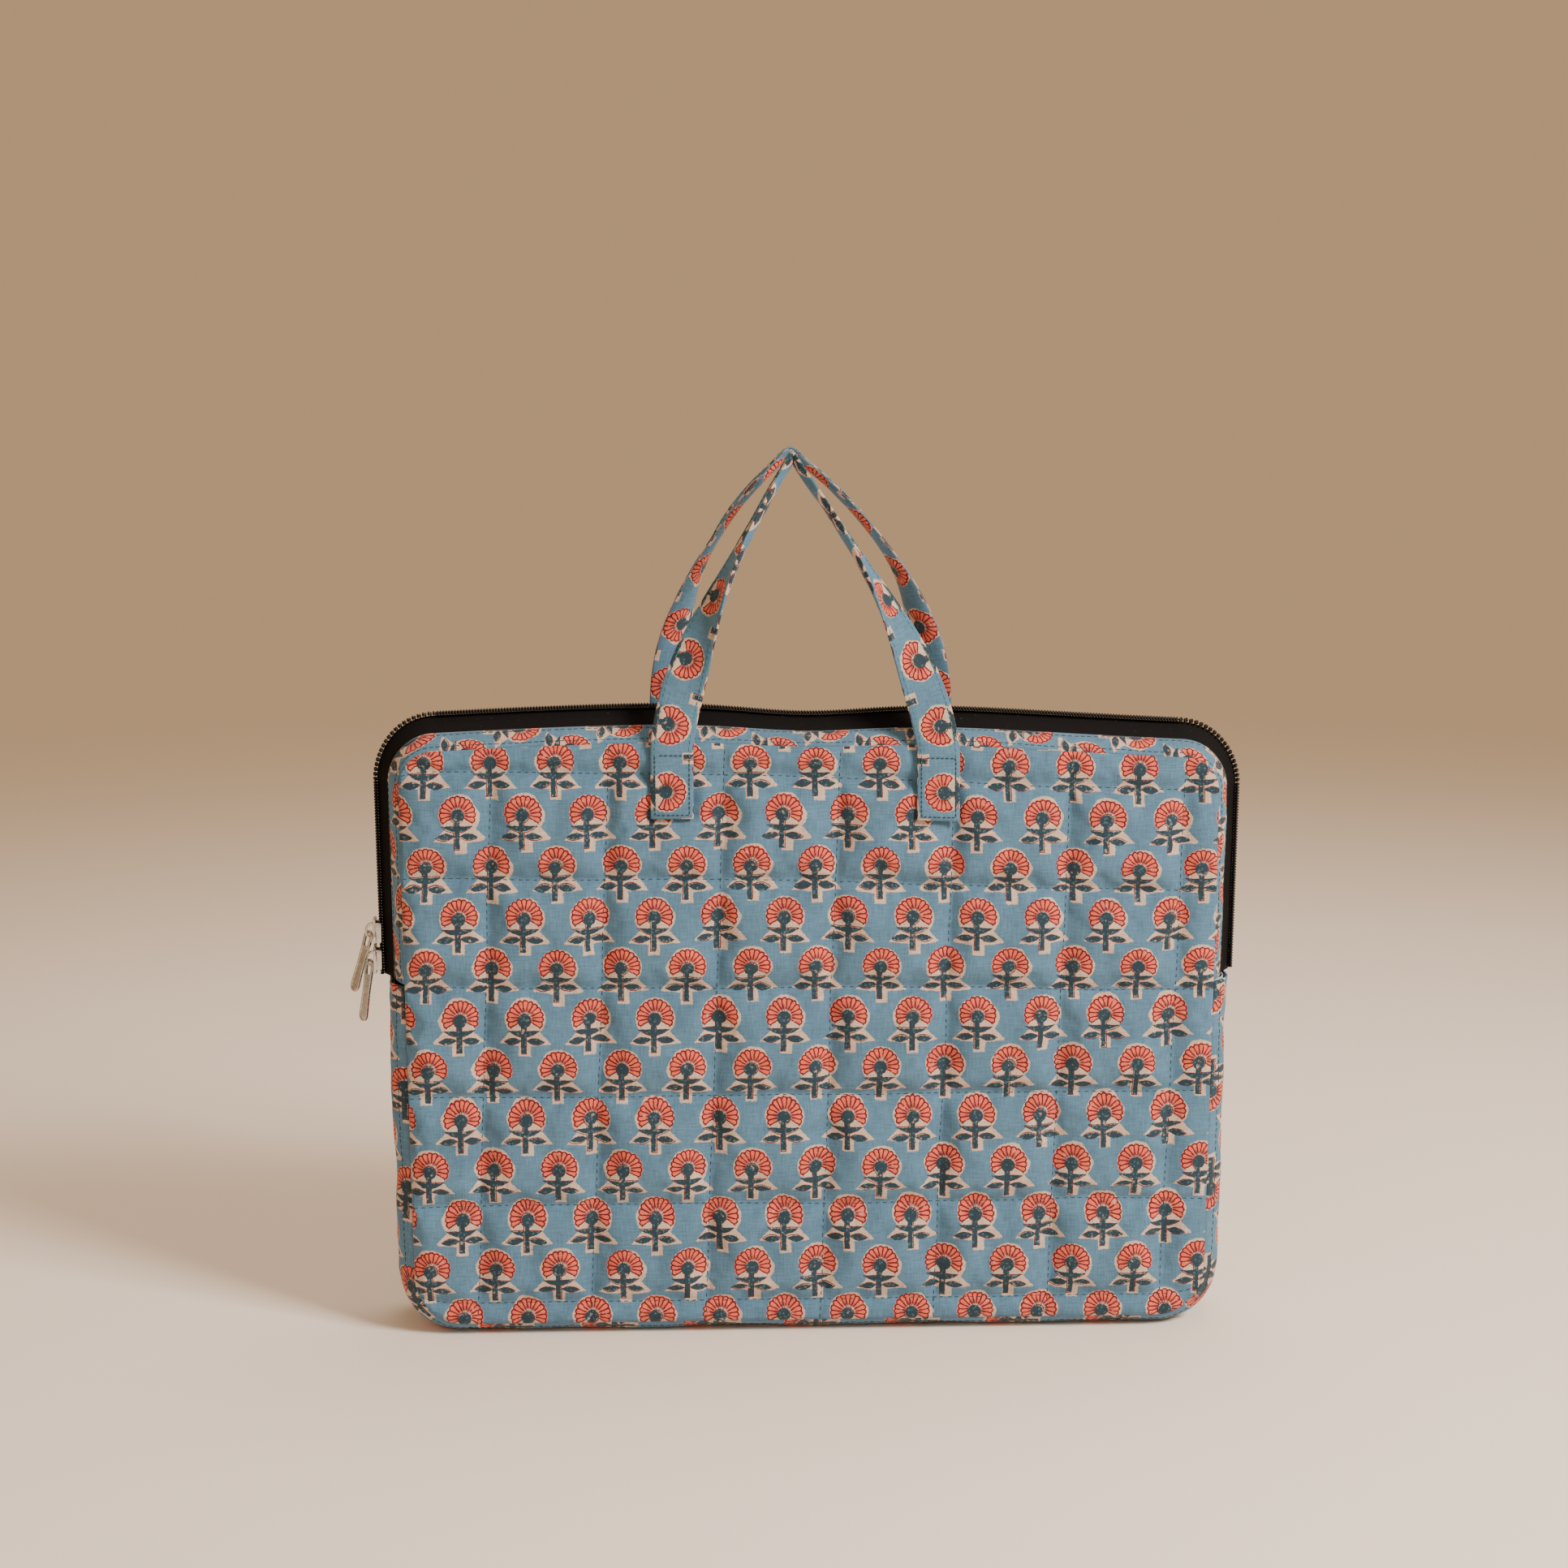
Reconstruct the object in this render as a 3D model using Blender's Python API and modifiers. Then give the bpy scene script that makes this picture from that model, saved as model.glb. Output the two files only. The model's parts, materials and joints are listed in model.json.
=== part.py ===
"""Knitting bag: a quilted project bag with a U gusset, a wrap-round zip and two short handles.

Metres, +Z up, front of the bag towards -Y. The origin is on the floor under the middle of the bag.
The upper part of the front folds forward about a line just above the zip's two closed ends.
"""
from math import atan2, cos, hypot, pi, radians, sin

import bmesh
import bpy
from mathutils import Matrix, Vector

# ---- driving dimensions -------------------------------------------------------------------------
SEAM_HALF_BOTTOM = 0.178      # half width of a panel along its bottom seam
SEAM_HALF_TOP = 0.1825        # half width of a panel at its top corners
SEAM_BOTTOM_Z = 0.006         # bottom seam
SEAM_CORNER_Z = 0.266         # top seam at the corners
SEAM_CROWN = 0.004            # how much higher the top seam is in its middle
BOTTOM_RADIUS = 0.022
TOP_RADIUS = 0.016
ZIP_END_Z = 0.162             # height of the zip's two ends, where the gusset takes over
FOLD_Z = 0.190                # the front folds forward about this line, above the parked sliders
HALF_DEPTH_BOTTOM = 0.030     # from the zip's plane to a panel's outer face
HALF_DEPTH_FOLD = 0.0255
HALF_DEPTH_TOP = 0.0205

COTTON = 0.0010               # thickness of the printed cotton
WADDING = 0.0025
LINING = 0.0008
GUSSET = 0.0012
TAPE = 0.0007
COIL = 0.0016
BINDING = 0.0008
BINDING_WIDTH = 0.005
GAP = 0.0003                  # clearance between pieces that touch
FOLD_GAP = 0.0004             # clearance above and below the fold line

GUSSET_BULGE = 0.006          # the gusset stands out this far under the base
GUSSET_SIDE_BULGE = 0.002     # and this much further along the sides
GUSSET_FLAT = 0.5             # share of the gusset's width that is flat
GUSSET_COLUMNS = (-1, -0.83, -0.67, -0.5, 0.5, 0.67, 0.83, 1)

ZIP_RISE_TOP = 0.0145         # the zip stands out this far beyond the seam along the top
ZIP_RISE_SIDE = 0.0116        # and this far along the sides
FACING_SPAN = (0.0, 0.46)     # shares of the way from the seam to the middle of the zip
TAPE_SPAN = (0.48, 0.87)
COIL_SPAN = (0.89, 0.992)
FACING_RISE = 0.45            # share of the zip's rise that the facing takes
FACING_REACH = 0.57           # share of the depth that the facing takes
ZIP_END_REACH = 0.95          # how far the closed ends of the zip come towards its middle

STRAP_WIDTH = 0.019
STRAP_THICKNESS = 0.0024
STITCHED_LENGTH = 0.030       # length of strap sewn to the panel at each end
STRAP_BEVEL = 0.0005
STRAP_LEFT_X = -0.0615
STRAP_RIGHT_X = 0.0565
STRAP_BASE_Z = 0.266
APEX = (-0.008, 0.0105, 0.397)  # x, distance from the zip's plane, z
BOW_FRONT = 1.5               # how full the handles' arches are: a higher power is fuller
BOW_BACK = 2.3
TWIST_END = 0.55              # the strap has turned edge-on by this share of its height

SLIDER = (0.0016, 0.0090, 0.0125)   # plate thickness, width, length
PLATE_BEVEL = 0.0006
SLIDER_LOWER_Z = 0.1685       # middle of the lower slider
SLIDER_GAP = 0.0005
ARCH_REACH = 0.0032           # the slider's arch stands out this far
ARCH_HALF_LENGTH = 0.0034
ARCH_WIRE = 0.0006             # radius of its wire
ARCH_STEPS = 12
PIVOT_REACH = 0.00155         # the pull's end bar, out from the plate
PIVOT_DROP = 0.0005           # and down from the middle of the arch
PULL = (0.0064, 0.0290, 0.0012)     # width, length, thickness
PULL_HOLE = (0.0036, 0.0065)
PULL_RIM = 0.0012
UPPER_PULL_LEAN = radians(16)
LOWER_PULL_LEAN = radians(8)

WELD = 0.00001                # points nearer than this are one
ARC_STEPS = 6
EDGE = COTTON + GAP           # the gusset and the facings start this far behind a panel's outer face
PANEL_BACK = COTTON + WADDING + LINING + 3 * GAP    # and what lies inside a panel starts here
INNER_SHRINK = GUSSET + LINING + 3 * GAP      # how far the inner layers stop short of the seam


# ---- start from an empty scene ------------------------------------------------------------------
for old in list(bpy.data.objects):
    bpy.data.objects.remove(old, do_unlink=True)

bag = bpy.data.collections.new("knitting_bag")
helpers = bpy.data.collections.new("cutters")
bpy.context.scene.collection.children.link(bag)
bpy.context.scene.collection.children.link(helpers)


def material(name, colour, roughness, metallic=0.0):
    made = bpy.data.materials.new(name)
    made.use_nodes = True
    shader = made.node_tree.nodes["Principled BSDF"]
    shader.inputs["Base Color"].default_value = (*colour, 1.0)
    shader.inputs["Roughness"].default_value = roughness
    shader.inputs["Metallic"].default_value = metallic
    return made


PRINTED_COTTON = material("printed_cotton", (0.16, 0.24, 0.29), 0.85)
LINING_COTTON = material("lining_cotton", (0.33, 0.42, 0.45), 0.9)
WADDING_FLEECE = material("wadding_fleece", (0.75, 0.73, 0.68), 0.95)
ZIP_TAPE = material("zip_tape", (0.012, 0.011, 0.011), 0.8)
NYLON_COIL = material("nylon_coil", (0.01, 0.009, 0.01), 0.4)
NICKEL = material("nickel", (0.62, 0.6, 0.56), 0.28, 1.0)


def add(name, data, colour, collection=bag):
    made = bpy.data.objects.new(name, data)
    made.data.materials.append(colour)
    collection.objects.link(made)
    return made


# ---- the bag's form -----------------------------------------------------------------------------
def half_depth(z):
    """Distance from the zip's plane to a panel's outer face at height z."""
    top_z = SEAM_CORNER_Z + SEAM_CROWN
    if z < FOLD_Z:
        share = (z - SEAM_BOTTOM_Z) / (FOLD_Z - SEAM_BOTTOM_Z)
        return HALF_DEPTH_BOTTOM + (HALF_DEPTH_FOLD - HALF_DEPTH_BOTTOM) * share
    share = min(1.0, (z - FOLD_Z) / (top_z - FOLD_Z))
    return HALF_DEPTH_FOLD + (HALF_DEPTH_TOP - HALF_DEPTH_FOLD) * share


def half_width(z):
    """Half width of the seam along the straight sides."""
    share = (z - SEAM_BOTTOM_Z) / (SEAM_CORNER_Z - SEAM_BOTTOM_Z)
    return SEAM_HALF_BOTTOM + (SEAM_HALF_TOP - SEAM_HALF_BOTTOM) * share


def bottom_path(top_z, steps=ARC_STEPS):
    """Seam from top_z on the left, round the bottom corners, to top_z on the right: x, z and the normal."""
    centre_x = SEAM_HALF_BOTTOM - BOTTOM_RADIUS
    centre_z = SEAM_BOTTOM_Z + BOTTOM_RADIUS
    left = [(-half_width(z), z, -1.0, 0.0) for z in (top_z, (top_z + centre_z) / 2)]
    for i in range(steps + 1):
        turn = pi / 2 * i / steps
        left.append((-centre_x - BOTTOM_RADIUS * cos(turn), centre_z - BOTTOM_RADIUS * sin(turn),
                     -cos(turn), -sin(turn)))
    return left + [(-x, z, -nx, nz) for x, z, nx, nz in reversed(left)]


def top_path(right_z, left_z, steps=ARC_STEPS):
    """Seam from right_z up the right side, over the crowned top, and down the left side to left_z."""
    centre_x = SEAM_HALF_TOP - TOP_RADIUS
    centre_z = SEAM_CORNER_Z - TOP_RADIUS

    def corner(side):
        points = []
        for i in range(steps + 1):
            turn = pi / 2 * i / steps
            points.append((side * (centre_x + TOP_RADIUS * cos(turn)), centre_z + TOP_RADIUS * sin(turn),
                           side * cos(turn), sin(turn)))
        return points

    crown = []
    for i in range(1, 8):
        x = centre_x * (1 - i / 4)
        crown.append((x, SEAM_CORNER_Z + SEAM_CROWN * (1 - (x / centre_x) ** 2), 0.0, 1.0))
    return ([(half_width(right_z), right_z, 1.0, 0.0)] + corner(1) + crown
            + list(reversed(corner(-1))) + [(-half_width(left_z), left_z, -1.0, 0.0)])


def inset(path, distance):
    """The path moved inwards along its normals."""
    return [(x - nx * distance, z - nz * distance, nx, nz) for x, z, nx, nz in path]


# ---- builders -----------------------------------------------------------------------------------
def panel_layer(name, outlines, side, depth, thickness, colour):
    """A flat layer of a panel, with a fold where two outlines share an edge.

    depth is the layer's distance behind the panel's outer face; side is -1 on the front, 1 on the back.
    """
    mesh = bpy.data.meshes.new(name)
    build = bmesh.new()
    known = {}
    for outline in outlines:
        face = []
        for x, z in outline:
            key = (round(x, 6), round(z, 6))
            if key not in known:
                known[key] = build.verts.new((x, side * (half_depth(z) - depth), z))
            face.append(known[key])
        build.faces.new(face if side < 0 else reversed(face))
    build.to_mesh(mesh)
    build.free()
    made = add(name, mesh, colour)
    shell = made.modifiers.new("shell", "SOLIDIFY")
    shell.thickness = thickness
    shell.offset = -1.0
    shell.use_even_offset = True
    return made


def grid(name, rows, thickness, inward, colour, closed=False):
    """A surface through rows of points, made a shell on its inner side; closed joins last to first."""
    mesh = bpy.data.meshes.new(name)
    build = bmesh.new()
    verts = [[build.verts.new(point) for point in row] for row in rows]
    if closed:
        verts.append(verts[0])
    for upper, lower in zip(verts, verts[1:]):
        for a, b, c, d in zip(upper, upper[1:], lower[1:], lower):
            build.faces.new((a, b, c, d) if inward > 0 else (d, c, b, a))
    build.to_mesh(mesh)
    build.free()
    made = add(name, mesh, colour)
    shell = made.modifiers.new("shell", "SOLIDIFY")
    shell.thickness = thickness
    shell.offset = -1.0
    mesh.shade_smooth()
    mesh.set_sharp_from_angle(angle=radians(40))
    return made


def gusset_rows(path, edge, depth):
    """Rows across the gusset: it is flat in its middle and turns in towards both seams."""
    rows = []
    for x, z, nx, nz in path:
        reach = half_depth(z) - edge
        bulge = GUSSET_BULGE + GUSSET_SIDE_BULGE * abs(nx)
        row = []
        for share in GUSSET_COLUMNS:
            turned = max(0.0, (abs(share) - GUSSET_FLAT) / (1 - GUSSET_FLAT))
            out = bulge * (1 - turned ** 2) - depth
            row.append((x + nx * out, share * reach, z + nz * out))
        rows.append(row)
    return rows


def zip_section(share, nx, nz):
    """How far out and how far across the zip's slope is at a share of the way to its middle."""
    rise = ZIP_RISE_SIDE * nx * nx + ZIP_RISE_TOP * nz * nz
    knee = FACING_SPAN[1]
    if share <= knee:
        return rise * FACING_RISE * share / knee, FACING_REACH * share / knee
    rest = (share - knee) / (1 - knee)
    return rise * (FACING_RISE + (1 - FACING_RISE) * rest), FACING_REACH + (1 - FACING_REACH) * rest


def zip_strip(name, path, span, columns, thickness, side, colour, level=False):
    """A strip of the zip's slope, on the front (-1) or the back (1) of the bag; level for its crest."""
    rows = []
    for x, z, nx, nz in path:
        row = []
        for i in range(columns):
            share = span[0] + (span[1] - span[0]) * i / (columns - 1)
            out, across = zip_section(share, nx, nz)
            if level:
                out = zip_section(1.0, nx, nz)[0]
            y = side * (half_depth(z) - EDGE) * (1 - across)
            row.append((x + nx * out, y, z + nz * out))
        rows.append(row)
    return grid(name, rows, thickness, -side, colour)


def seam_binding(name, path, side, colour, closed=False):
    """A flat binding sewn over the raw edges inside, along one seam."""
    rows = [[(x, side * (half_depth(z) - PANEL_BACK - BINDING_WIDTH * i / 2), z) for i in range(3)]
            for x, z, _, _ in inset(path, INNER_SHRINK)]
    return grid(name, rows, BINDING, -side, colour, closed)


# ---- panels: printed cotton, wadding and lining ------------------------------------------------
LAYERS = (
    ("panel", COTTON, 0.0, 0.0, PRINTED_COTTON),
    ("wadding", WADDING, COTTON + GAP, INNER_SHRINK, WADDING_FLEECE),
    ("lining", LINING, COTTON + WADDING + 2 * GAP, INNER_SHRINK, LINING_COTTON),
)


def plain(path, shrink):
    """The path's x and z, drawn in by shrink."""
    return [(x, z) for x, z, _, _ in inset(path, shrink)]


for layer, thickness, depth, shrink, colour in LAYERS:
    lower = plain(bottom_path(FOLD_Z - FOLD_GAP), shrink)
    upper = plain(top_path(FOLD_Z + FOLD_GAP, FOLD_Z + FOLD_GAP), shrink)
    panel_layer(f"front_{layer}_lower", [lower], -1, depth, thickness, colour)
    panel_layer(f"front_{layer}_upper", [upper], -1, depth, thickness, colour)
    whole = [plain(bottom_path(FOLD_Z), shrink), plain(top_path(FOLD_Z, FOLD_Z), shrink)]
    panel_layer(f"back_{layer}", whole, 1, depth, thickness, colour)

# ---- gusset, its lining and the bindings --------------------------------------------------------
low = bottom_path(ZIP_END_Z - FOLD_GAP)
grid("gusset", gusset_rows(low, EDGE, 0.0), GUSSET, 1, PRINTED_COTTON)
grid("gusset_lining", gusset_rows(low, PANEL_BACK, GUSSET + GAP), LINING, 1, LINING_COTTON)
seam_binding("front_binding_lower", bottom_path(FOLD_Z - FOLD_GAP), -1, LINING_COTTON)
seam_binding("front_binding_upper", top_path(FOLD_Z + FOLD_GAP, FOLD_Z + FOLD_GAP), -1, LINING_COTTON)
around = bottom_path(FOLD_Z)[:-1] + top_path(FOLD_Z, FOLD_Z)[:-1]
seam_binding("back_binding", around, 1, LINING_COTTON, closed=True)

# ---- the zip: its back half and its closed ends stay on the bag, the rest folds with the front ---
full = top_path(ZIP_END_Z + FOLD_GAP, ZIP_END_Z + FOLD_GAP)
zip_strip("back_zip_facing", full, FACING_SPAN, 3, COTTON, 1, PRINTED_COTTON)
zip_strip("back_zip_tape", full, TAPE_SPAN, 3, TAPE, 1, ZIP_TAPE)
zip_strip("back_zip_coil", full, COIL_SPAN, 2, COIL, 1, NYLON_COIL, level=True)
moving = top_path(FOLD_Z + FOLD_GAP, FOLD_Z + FOLD_GAP)
zip_strip("front_zip_facing", moving, FACING_SPAN, 3, COTTON, -1, PRINTED_COTTON)
zip_strip("front_zip_tape", moving, TAPE_SPAN, 3, TAPE, -1, ZIP_TAPE)
zip_strip("front_zip_coil", moving, COIL_SPAN, 2, COIL, -1, NYLON_COIL, level=True)
for side, name in ((-1, "left"), (1, "right")):
    closed = [(side * half_width(z), z, float(side), 0.0)
              for z in (ZIP_END_Z + FOLD_GAP, (ZIP_END_Z + FOLD_Z) / 2, FOLD_Z - FOLD_GAP)]
    if side < 0:
        closed.reverse()
    zip_strip(f"zip_facing_end_{name}", closed, FACING_SPAN, 3, COTTON, -1, PRINTED_COTTON)
    zip_strip(f"zip_end_{name}", closed, (TAPE_SPAN[0], ZIP_END_REACH), 4, TAPE, -1, ZIP_TAPE)


# ---- handles ------------------------------------------------------------------------------------
APEX_X, APEX_DEPTH, APEX_Z = APEX
STRAP_DEPTH = half_depth(STRAP_BASE_Z) + GAP + STRAP_THICKNESS / 2
STRAP_HEIGHT = APEX_Z - STRAP_BASE_Z
STRAP_STEPS = 12


def strap_station(base_x, rise, side, turn_side):
    """Centre, half-width and half-thickness vectors of a strap at a share of its height."""
    span = base_x - APEX_X
    bow = BOW_FRONT if side < 0 else BOW_BACK
    centre = Vector((APEX_X + span * (1 - rise ** bow),
                     side * (STRAP_DEPTH + (APEX_DEPTH - STRAP_DEPTH) * rise),
                     STRAP_BASE_Z + GAP + STRAP_HEIGHT * rise))
    run = -bow * span * rise ** (bow - 1)
    along = Vector((run, side * (APEX_DEPTH - STRAP_DEPTH), STRAP_HEIGHT)).normalized()
    turn = pi / 4 * (1 - cos(pi * min(1.0, rise / TWIST_END)))
    flat = Vector((along.z, 0.0, -along.x)).normalized()
    wide = flat * cos(turn) + Vector((0.0, turn_side, 0.0)) * sin(turn)
    through = along.cross(wide).normalized()
    return centre, wide * STRAP_WIDTH / 2, through * STRAP_THICKNESS / 2


def handle(name, side):
    """A strap that rises from both stitched ends, twists edge-on and is pinched to a point."""
    shares = [i / STRAP_STEPS for i in range(STRAP_STEPS)]
    left = [strap_station(STRAP_LEFT_X, rise, side, side) for rise in shares]
    right = [strap_station(STRAP_RIGHT_X, rise, side, -side) for rise in shares]
    tip, wide, through = strap_station(STRAP_LEFT_X, 1.0, side, side)
    run = (BOW_FRONT if side < 0 else BOW_BACK) * (STRAP_RIGHT_X - STRAP_LEFT_X) / 2
    mitre = STRAP_THICKNESS / 2 * hypot(run, STRAP_HEIGHT) / run
    stations = left + [(tip, wide, Vector((0.0, 0.0, mitre if through.z > 0 else -mitre)))]
    stations += [(centre, -across, through) for centre, across, through in reversed(right)]
    return loft(name, stations, PRINTED_COTTON)


def loft(name, stations, colour):
    """A solid strap through its stations, each a centre with half-width and half-thickness vectors."""
    mesh = bpy.data.meshes.new(name)
    build = bmesh.new()
    rings = []
    for centre, wide, through in stations:
        corners = (centre + wide + through, centre - wide + through,
                   centre - wide - through, centre + wide - through)
        rings.append([build.verts.new(corner) for corner in corners])
    for first, second in zip(rings, rings[1:]):
        for i in range(4):
            build.faces.new((first[i], first[(i + 1) % 4], second[(i + 1) % 4], second[i]))
    build.faces.new(reversed(rings[0]))
    build.faces.new(rings[-1])
    bmesh.ops.recalc_face_normals(build, faces=build.faces)
    build.to_mesh(mesh)
    build.free()
    return add(name, mesh, colour)


def block(name, size, colour, bevel, segments):
    """A box of this size about its own origin, with its edges bevelled."""
    bpy.ops.mesh.primitive_cube_add(size=1.0)
    made = bpy.context.object
    made.name = made.data.name = name
    made.data.transform(Matrix.Diagonal((*size, 1.0)))
    for collection in list(made.users_collection):
        collection.objects.unlink(made)
    bag.objects.link(made)
    made.data.materials.append(colour)
    edges = made.modifiers.new("edges", "BEVEL")
    edges.width = bevel
    edges.segments = segments
    return made


def stitched_end(name, x, side):
    """The end of a strap where it lies flat and is box-stitched to the panel."""
    made = block(name, (STRAP_WIDTH, STRAP_THICKNESS, STITCHED_LENGTH), PRINTED_COTTON, STRAP_BEVEL, 1)
    middle_z = STRAP_BASE_Z - STITCHED_LENGTH / 2
    made.location = (x, side * (half_depth(middle_z) + GAP + STRAP_THICKNESS / 2), middle_z)
    made.rotation_euler = (side * UPPER_LEAN, 0.0, 0.0)
    return made


UPPER_LEAN = atan2(HALF_DEPTH_FOLD - HALF_DEPTH_TOP, SEAM_CORNER_Z + SEAM_CROWN - FOLD_Z)
for side, face in ((-1, "front"), (1, "back")):
    handle(f"{face}_handle", side)
    stitched_end(f"{face}_handle_left_end", STRAP_LEFT_X, side)
    stitched_end(f"{face}_handle_right_end", STRAP_RIGHT_X, side)

# ---- sliders and pulls, on the left side of the bag ---------------------------------------------
PLATE_THICKNESS, _, PLATE_LENGTH = SLIDER
COIL_FACE_X = -(half_width(SEAM_CORNER_Z - TOP_RADIUS) + ZIP_RISE_SIDE)
PLATE_INNER_X = COIL_FACE_X - GAP
PLATE_OUTER_X = PLATE_INNER_X - PLATE_THICKNESS


def as_mesh(name, curve_object):
    """The curve's solid as a mesh object among the cutters, with its caps welded on."""
    bpy.context.view_layer.update()
    evaluated = curve_object.evaluated_get(bpy.context.evaluated_depsgraph_get())
    mesh = bpy.data.meshes.new_from_object(evaluated)
    build = bmesh.new()
    build.from_mesh(mesh)
    bmesh.ops.remove_doubles(build, verts=build.verts, dist=WELD)
    bmesh.ops.recalc_face_normals(build, faces=build.faces)
    build.to_mesh(mesh)
    build.free()
    made = bpy.data.objects.new(name, mesh)
    made.matrix_world = curve_object.matrix_world
    helpers.objects.link(made)
    made.hide_render = True
    made.display_type = "WIRE"
    bpy.data.objects.remove(curve_object, do_unlink=True)
    return made


def slider(name, middle_z):
    """A slider's outer plate with the arch that its pull hangs from."""
    curve = bpy.data.curves.new(f"{name}_arch", "CURVE")
    curve.dimensions = "3D"
    curve.bevel_depth = ARCH_WIRE
    curve.bevel_resolution = 2
    curve.use_fill_caps = True
    spline = curve.splines.new("POLY")
    spline.points.add(ARCH_STEPS)
    root = PLATE_OUTER_X + PLATE_THICKNESS / 2
    for i, point in enumerate(spline.points):
        angle = pi * i / ARCH_STEPS
        reach = (ARCH_REACH + PLATE_THICKNESS / 2) * sin(angle)
        point.co = (root - reach, 0.0, middle_z + ARCH_HALF_LENGTH * cos(angle), 1.0)
    arch = as_mesh(f"{name}_arch", add(f"{name}_arch_wire", curve, NICKEL))
    made = block(name, SLIDER, NICKEL, PLATE_BEVEL, 2)
    made.location = ((PLATE_INNER_X + PLATE_OUTER_X) / 2, 0.0, middle_z)
    union = made.modifiers.new("arch", "BOOLEAN")
    union.operation = "UNION"
    union.object = arch
    return made


def stadium(half_wide, half_long, steps=8):
    """Outline of a slot with round ends, its long way along Y."""
    straight = half_long - half_wide
    points = []
    for end in (1, -1):
        for i in range(steps + 1):
            angle = pi * i / steps
            points.append((end * half_wide * cos(angle), end * (straight + half_wide * sin(angle))))
    return points


def pull(name, slider_z, lean):
    """A flat pull with a slot near its top; the bar above the slot hangs in the slider's arch."""
    width, length, thickness = PULL
    hole_width, hole_length = PULL_HOLE
    curve = bpy.data.curves.new(name, "CURVE")
    curve.dimensions = "2D"
    curve.fill_mode = "BOTH"
    curve.extrude = thickness / 2
    top = PULL_RIM / 2
    for points, centre in ((stadium(width / 2, length / 2), top - length / 2),
                           (stadium(hole_width / 2, hole_length / 2), -PULL_RIM / 2 - hole_length / 2)):
        spline = curve.splines.new("POLY")
        spline.points.add(len(points) - 1)
        for point, (across, along) in zip(spline.points, points):
            point.co = (across, along + centre, 0.0, 1.0)
        spline.use_cyclic_u = True
    made = add(name, curve, NICKEL)
    made.location = (PLATE_OUTER_X - PIVOT_REACH, 0.0, slider_z - PIVOT_DROP)
    hanging = Matrix(((0, 0, 1), (1, 0, 0), (0, 1, 0)))
    made.rotation_euler = (Matrix.Rotation(lean, 3, "Y") @ hanging).to_euler()
    return made


SLIDER_UPPER_Z = SLIDER_LOWER_Z + PLATE_LENGTH + SLIDER_GAP
slider("lower_slider", SLIDER_LOWER_Z)
slider("upper_slider", SLIDER_UPPER_Z)
pull("lower_pull", SLIDER_LOWER_Z, LOWER_PULL_LEAN)
pull("upper_pull", SLIDER_UPPER_Z, UPPER_PULL_LEAN)
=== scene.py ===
"""Knitting bag: the finished looks of a quilted project bag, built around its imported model.

Metres, +Z up, front of the bag towards -Y.  Cloth lengths on the "Cloth" map are in millimetres.
"""
import json
from math import ceil, cos, hypot, pi, radians, sin, sqrt, tan

import bmesh
import bpy
import numpy as np
from mathutils import Matrix, Vector, noise


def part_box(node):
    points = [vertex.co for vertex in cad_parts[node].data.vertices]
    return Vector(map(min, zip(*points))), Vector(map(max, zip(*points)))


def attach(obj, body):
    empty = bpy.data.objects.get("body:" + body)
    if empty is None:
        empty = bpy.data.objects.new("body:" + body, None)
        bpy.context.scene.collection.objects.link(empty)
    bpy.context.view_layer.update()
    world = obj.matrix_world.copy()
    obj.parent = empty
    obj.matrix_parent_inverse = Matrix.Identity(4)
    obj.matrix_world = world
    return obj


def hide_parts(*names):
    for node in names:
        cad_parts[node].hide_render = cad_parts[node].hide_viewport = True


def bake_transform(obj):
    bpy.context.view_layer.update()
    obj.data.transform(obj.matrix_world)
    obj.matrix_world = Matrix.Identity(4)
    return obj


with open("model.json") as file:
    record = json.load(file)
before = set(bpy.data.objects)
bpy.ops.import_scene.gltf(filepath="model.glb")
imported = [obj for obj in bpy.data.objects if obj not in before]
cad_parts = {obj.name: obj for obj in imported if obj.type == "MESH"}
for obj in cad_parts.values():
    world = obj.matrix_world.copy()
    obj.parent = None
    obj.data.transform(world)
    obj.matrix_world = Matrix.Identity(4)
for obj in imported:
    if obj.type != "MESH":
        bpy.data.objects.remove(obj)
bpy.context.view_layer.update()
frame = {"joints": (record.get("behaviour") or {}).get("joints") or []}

MM = 0.001

# stitches: from one to the next, the length that shows, and the thread's radius
QUILT_STITCH = (3.4 * MM, 1.7 * MM, 0.2 * MM)
TOPSTITCH = (2.9 * MM, 1.9 * MM, 0.2 * MM)
STRAP_STITCH = (3.0 * MM, 1.9 * MM, 0.2 * MM)
BOX_STITCH = (2.1 * MM, 1.45 * MM, 0.24 * MM)

# ---- the bag's form, from the frame ---------------------------------------------------------------
joints = {joint["name"]: joint for joint in frame["joints"]}
FOLD = Vector(joints["front_flap_fold"]["pos_m"])
panel_low, panel_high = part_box("back_panel")
SEAM_BOTTOM_Z, SEAM_TOP_Z = panel_low.z, panel_high.z
SEAM_HALF_TOP = panel_high.x
SEAM_HALF_BOTTOM = SEAM_HALF_TOP - 4.5 * MM
HALF_DEPTH_BOTTOM = panel_high.y
HALF_DEPTH_FOLD = -FOLD.y
HALF_DEPTH_TOP = 20.5 * MM
SEAM_CROWN = 4 * MM
SEAM_CORNER_Z = SEAM_TOP_Z - SEAM_CROWN
BOTTOM_RADIUS = 22 * MM
TOP_RADIUS = 16 * MM
ZIP_END_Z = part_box("gusset")[1].z
ZIP_TOP_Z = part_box("back_zip_coil")[1].z
ZIP_RISE_TOP = ZIP_TOP_Z - SEAM_TOP_Z
ZIP_RISE_SIDE = 11.6 * MM
KNEE = 0.47                    # the facing meets the tape at this share of the zip's slope
KNEE_RISE = 0.45
KNEE_REACH = 0.57
SEAM_TUCK = 1.9 * MM           # how deep the panels' edges are drawn into the seams
GUSSET_BULGE = 6 * MM
GUSSET_SIDE_BULGE = 2 * MM


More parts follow.
